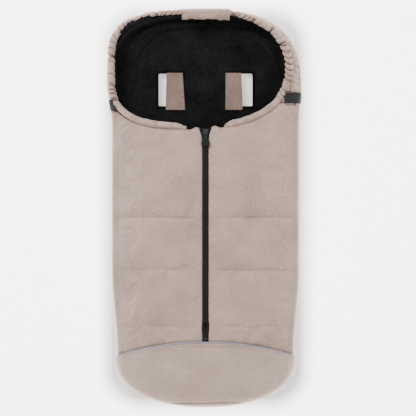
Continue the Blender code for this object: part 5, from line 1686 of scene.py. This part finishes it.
@dataclass
class Trim:
    """The small soft pieces: the head tab, the side bands, the slot flaps and the grip patch.

    Attributes:
        palette: the finishes.
        flap_top_y: where both flaps end at the head, level with their slots.
        flap_sewn: how far out each flap's sewn side lies, at its lower and its upper end.
        flap_free: the same for its free side.
        band_middle_y: the middle of each side band.
        band_inner_x: where each band ends on the front.
        band_half_width: half a band's width.
        tab_ends: the tab's left and right end.
        tab_turns: the hood's turns, in degrees, at these ends.
    """

    palette: Palette
    flap_top_y: float = 0.3196
    flap_sewn: dict[Side, tuple[float, float]] = field(
        default_factory=lambda: {Side.LEFT: (0.0480, 0.0538), Side.RIGHT: (0.0466, 0.0474)}
    )
    flap_free: dict[Side, tuple[float, float]] = field(
        default_factory=lambda: {Side.LEFT: (0.0942, 0.0920), Side.RIGHT: (0.0880, 0.0845)}
    )
    band_middle_y: dict[Side, float] = field(default_factory=lambda: {Side.LEFT: 0.2405, Side.RIGHT: 0.2580})
    band_inner_x: dict[Side, float] = field(default_factory=lambda: {Side.LEFT: 0.2105, Side.RIGHT: 0.1845})
    band_half_width: float = 0.0125
    tab_ends: tuple[float, float] = (-0.0555, 0.0565)
    tab_turns: tuple[float, float] = (106.0, 66.0)

    # Share of the way from the tab's lower edge to its seam, and drop from its crown
    TAB_SECTION = (
        (1.00, -0.030), (1.00, -0.022), (0.985, -0.014), (0.965, -0.008), (0.90, -0.0035), (0.78, -0.0008),
        (0.62, 0.0), (0.42, -0.0006), (0.22, -0.0022), (0.07, -0.0052), (0.0, -0.0080), (0.03, -0.0098),
        (0.14, -0.0104),
    )

    def tab(self) -> bpy.types.Object:
        """The smooth tab that wraps from under the head seam over the rim."""
        x = np.linspace(*self.tab_ends, 90)
        rim = Hood(self.palette).rim_line(np.radians(np.interp(x, self.tab_ends, self.tab_turns)))
        seam_y = 0.4697 - 0.0009 * (x / 0.056) ** 2
        edge_y = 0.4425 - 0.0028 * smooth(x, 0.020, 0.045)
        edge_y = edge_y + 0.0008 * np.sin(x / 0.0065) + 0.0006 * np.sin(x / 0.0031)
        crown = np.minimum(rim[:, 2] + 0.0068, 0.0712)
        rows = []
        for share, drop in self.TAB_SECTION:
            rows.append(np.column_stack([x, edge_y + (seam_y - edge_y) * share, crown + drop]))
        grid = resample(np.stack(rows), 60)
        grid[..., 2] += 0.0006 * noise(grid[..., 0], grid[..., 1], 0.03, 81)
        edge = seam_lines(np.abs(grid[..., 0]) - 0.0515, 0.0006)
        # Painted shade: the tab is darker all over and more towards its seam at the head, with uneven patches
        # of tone; edge darkens the lines along its sides.
        fold = 0.26 + 0.35 * smooth(grid[..., 1], 0.4640, 0.4685)
        fold = fold + 0.22 * noise(grid[..., 0], grid[..., 1], 0.009, 83)
        crease = np.clip(0.4 * edge + fold, 0, 1)
        tab = Surface(grid[:, ::-1], crease[:, ::-1], thickness=0.0013)
        obj = tab.build("head_tab_cloth", self.palette["polyester_poplin_beige"])
        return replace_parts(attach(obj, "bag"), "top_tab")

    def band(self, side: Side) -> bpy.types.Object:
        """One elastic side band, from under the back round the side and up to the rim."""
        sign = side.value
        y = self.band_middle_y[side] + np.linspace(-self.band_half_width, self.band_half_width, 24)[None, :]
        grown = 0.0016
        hw = FORM.half_width(y, sign) + grown
        rows = []
        for t in np.linspace(0, 1, 70):
            if t < 0.30:
                x = np.full(y.shape, 0.128 + (0.190 - 0.128) * t / 0.30)
                z = np.full(y.shape, FORM.floor_z - grown)
            elif t < 0.62:
                angle = math.pi / 2 * (t - 0.30) / 0.32
                x = hw - FORM.side_rounding + FORM.side_rounding * math.sin(angle)
                z = FORM.seam_z - (FORM.seam_z - FORM.floor_z + grown) * math.cos(angle) + 0 * y
            else:
                share = (t - 0.62) / 0.38
                x = hw + (self.band_inner_x[side] - hw) * share**1.4
                rise = grown + 0.0040 * min(1.0, 4 * share)
                z = FORM.dome(sign * x, y, rise) if share > 0 else np.full(y.shape, FORM.seam_z)
            rows.append(np.stack([sign * x[0], y[0], z[0]], axis=1))
        grid = np.stack(rows)
        band = Surface(grid[:, ::-1] if side is Side.LEFT else grid, thickness=0.0011)
        obj = band.build(side.word + "_side_band_elastic", self.palette["elastic_webbing_grey"])
        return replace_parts(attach(obj, "bag"), side.word + "_side_band")

    def flap(self, side: Side) -> bpy.types.Object:
        """The cloth flap beside a shoulder slot, wider at its lower end, with a hem along its free side."""
        low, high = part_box(side.word + "_slot_flap")
        u = np.linspace(0, 1, 60)[None, :]
        v = np.linspace(0, 1, 90)[:, None]
        sewn, free = (
            low_x + (high_x - low_x) * v for low_x, high_x in (self.flap_sewn[side], self.flap_free[side])
        )
        width, length = 0.045, 0.087
        y = low.y + (self.flap_top_y - low.y) * v + 0 * u
        x = sewn + (free - sewn) * u + 0.0005 * noise(y, u, 0.02, 93) * u
        z = high.z + 0.0005 * noise(x, y, 0.02, 91) + 0.0010 * u**3 + 0.0004 * np.sin(y / 0.011) * u**2
        edge = np.minimum(np.minimum(u, 1 - u) * width, np.minimum(v, 1 - v) * length)
        hem = seam_lines((1 - u) * width - 0.005, 0.0006) * (0.5 + 0.5 * np.sin(y / 0.0006))
        z = z - 0.0003 * hem
        # Stitches of the hem, painted shade along the flap's edges, and uneven patches of tone.
        shade = 0.35 * hem + 0.45 * seam_lines(edge, 0.0012) + 0.22 * (0.5 + 0.5 * noise(x, y, 0.012, 95))
        grid = np.stack([side.value * x, y, z], axis=2)
        if side is Side.LEFT:
            grid, shade = grid[:, ::-1], shade[:, ::-1]
        flap = Surface(grid, np.clip(shade, 0, 1), thickness=0.0012)
        obj = flap.build(side.word + "_flap_cloth", self.palette["polyester_poplin_flap"])
        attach(obj, side.word + "_flap")
        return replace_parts(obj, side.word + "_slot_flap")

    def patch(self) -> bpy.types.Object:
        """The grip patch under the back: mesh cloth with small silicone dots in rows."""
        low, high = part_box("grip_patch")
        turn = np.linspace(0, math.tau, 200, endpoint=False)
        ux, uy = superellipse(turn, np.full(len(turn), 7.0))
        middle, half = (low + high) / 2, (high - low) / 2
        section = [(0.001, 0.0)] + [(share, 0.0) for share in np.linspace(0.1, 0.985, 10)]
        section += [(0.997, 0.0004), (1.0, 0.0010), (1.0, high.z), (0.001, high.z)]
        rows = []
        for share, z in section:
            x, y = middle.x + half.x * share * ux, middle.y + half.y * share * uy
            rows.append(np.column_stack([x, y, np.full(len(turn), z)]))
        obj = Surface(np.stack(rows), closed=True).build("grip_patch_mesh", self.palette["silicone_dot_mesh"])
        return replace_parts(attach(obj, "bag"), "grip_patch")

    def build(self) -> None:
        """Every small piece."""
        self.tab()
        self.patch()
        for side in Side:
            self.band(side)
            self.flap(side)


def resample(grid: Array, rows: int) -> Array:
    """A grid with evenly spaced smooth rows through the given ones."""
    old = np.linspace(0, 1, len(grid))
    new = np.linspace(0, 1, rows)
    flat = grid.reshape(len(grid), -1)
    found = np.stack([np.interp(new, old, flat[:, k]) for k in range(flat.shape[1])], axis=1)
    for _ in range(12):
        found[1:-1] = 0.5 * found[1:-1] + 0.25 * (found[:-2] + found[2:])
    return found.reshape(rows, *grid.shape[1:])


@dataclass
class ZipMetal:
    """Finishes for the CAD pieces of the zip that stay: teeth, stop, slider, pull and its tab."""

    palette: Palette

    FINISH_OF = {
        "left_zip_teeth": "polyester_zip_teeth",
        "right_zip_teeth": "polyester_zip_teeth",
        "left_end_teeth": "polyester_zip_teeth",
        "right_end_teeth": "polyester_zip_teeth",
        "bottom_stop": "gunmetal_plated_zinc",
        "zip_slider": "gunmetal_plated_zinc",
        "zip_pull": "gunmetal_plated_zinc",
        "pull_tab": "moulded_rubber_black",
    }

    def build(self, nodes: dict[str, bpy.types.Object]) -> None:
        """Gives each carried-over node its finish."""
        for name, finish in self.FINISH_OF.items():
            node = nodes[name]
            if not node.material_slots:
                node.data.materials.append(self.palette[finish])
            for slot in node.material_slots:
                slot.material = self.palette[finish]


@dataclass
class Studio:
    """The floor, the lights and the camera straight above.

    The floor is a light table, dimmer close to the part, as in the soft shadow of the photograph.

    Attributes:
        floor_size: side of the square floor.
        glow_near: light of the floor beside the part, dimmed as a painted soft shadow.
        glow_far: light of the floor away from it.
        world_strength: light from all round.
        sensor_width: the camera's sensor, in millimetres.
        scale_z: height on the part at which the picture has its scale.
    """

    floor_size: float = 8.0
    glow_near: float = 0.6
    glow_far: float = 5.0
    world_strength: float = 0.52
    sensor_width: float = 36.0
    scale_z: float = 0.05

    # Name, place, size and power of each light
    LIGHTS = (
        ("key_softbox", (-1.5, 1.9, 2.4), 1.3, 92.0),
        ("fill_softbox", (2.1, -0.6, 2.6), 2.2, 34.0),
    )

    def floor(self) -> None:
        """A plain pale floor just under the part, glowing, with a painted soft shadow where its glow dims
        round the part.
        """
        half = self.floor_size / 2
        points = np.array([[-half, -half, 0], [half, -half, 0], [half, half, 0], [-half, half, 0]], float)
        nodes = Nodes("matt_paper_floor")
        place = nodes.add("ShaderNodeTexCoord").outputs["Object"]
        grain = nodes.add("ShaderNodeTexNoise", {"Vector": place, "Scale": 300.0}).outputs[0]
        xyz = nodes.add("ShaderNodeSeparateXYZ", {0: place}).outputs
        off = [
            nodes.math("MAXIMUM", nodes.math("SUBTRACT", nodes.math("ABSOLUTE", xyz[axis]), inner), 0.0)
            for axis, inner in ((0, 0.15), (1, 0.38))
        ]
        away = nodes.math("SQRT", nodes.math("ADD", *(nodes.math("MULTIPLY", o, o) for o in off)))
        gain = self.glow_far - self.glow_near
        # Painted shadow: the glow dims within a few centimetres of the part's outline.
        glow = nodes.math("MULTIPLY_ADD", nodes.ramp(away, 0.070, 0.110), gain, self.glow_near)
        nodes.shade(
            Base_Color=nodes.mix(nodes.ramp(grain, 0.3, 0.7), linear("#F6F6F6"), linear("#FAFAFA")),
            Roughness=0.9,
            Emission_Color=linear("#FFFFFF"),
            Emission_Strength=glow,
        )
        quads = np.array([[0, 1, 2, 3]])
        floor = mesh_object(
            "floor", points, quads, points[:, :2], np.zeros(4), np.zeros(1, np.int32), (nodes.material,)
        )
        floor.location.z = -0.0002

    def light(self, name: str, place: tuple[float, float, float], size: float, power: float) -> None:
        """One soft square light that faces the part."""
        data = bpy.data.lights.new(name, "AREA")
        data.size = size
        data.energy = power
        lamp = bpy.data.objects.new(name, data)
        lamp.location = place
        lamp.rotation_euler = (Vector((0, 0, 0)) - Vector(place)).to_track_quat("-Z", "Y").to_euler()
        bpy.context.scene.collection.objects.link(lamp)

    def build(self) -> None:
        """Everything round the part."""
        self.floor()
        for name, place, size, power in self.LIGHTS:
            self.light(name, place, size, power)
        world = bpy.data.worlds.new("studio")
        world.use_nodes = True
        background = world.node_tree.nodes["Background"]
        background.inputs["Color"].default_value = (1.0, 1.0, 1.0, 1.0)
        background.inputs["Strength"].default_value = self.world_strength
        bpy.context.scene.world = world
        self.camera()

    def camera(self) -> None:
        """The camera, straight above, with the photograph's scale and middle."""
        data = bpy.data.cameras.new("camera")
        data.sensor_width = self.sensor_width
        data.lens = self.sensor_width * (CAMERA_HEIGHT - self.scale_z) / PHOTO_SPAN
        data.clip_end = 60.0
        camera = bpy.data.objects.new("camera", data)
        camera.location = (PHOTO_CENTRE_X, 0.0, CAMERA_HEIGHT)
        bpy.context.scene.collection.objects.link(camera)
        bpy.context.scene.camera = camera


def main() -> None:
    """Loads the frame, dresses it and sets the stage."""
    logging.basicConfig(level=logging.INFO)
    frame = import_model()
    Studio().build()
    palette = Palette()
    Back(palette).build()
    Hood(palette).build()
    for side in Side:
        CoverHalf(side, palette).build()
    FootCap(palette).build()
    Trim(palette).build()
    ZipMetal(palette).build(frame["nodes"])


if __name__ == "__main__":
    main()
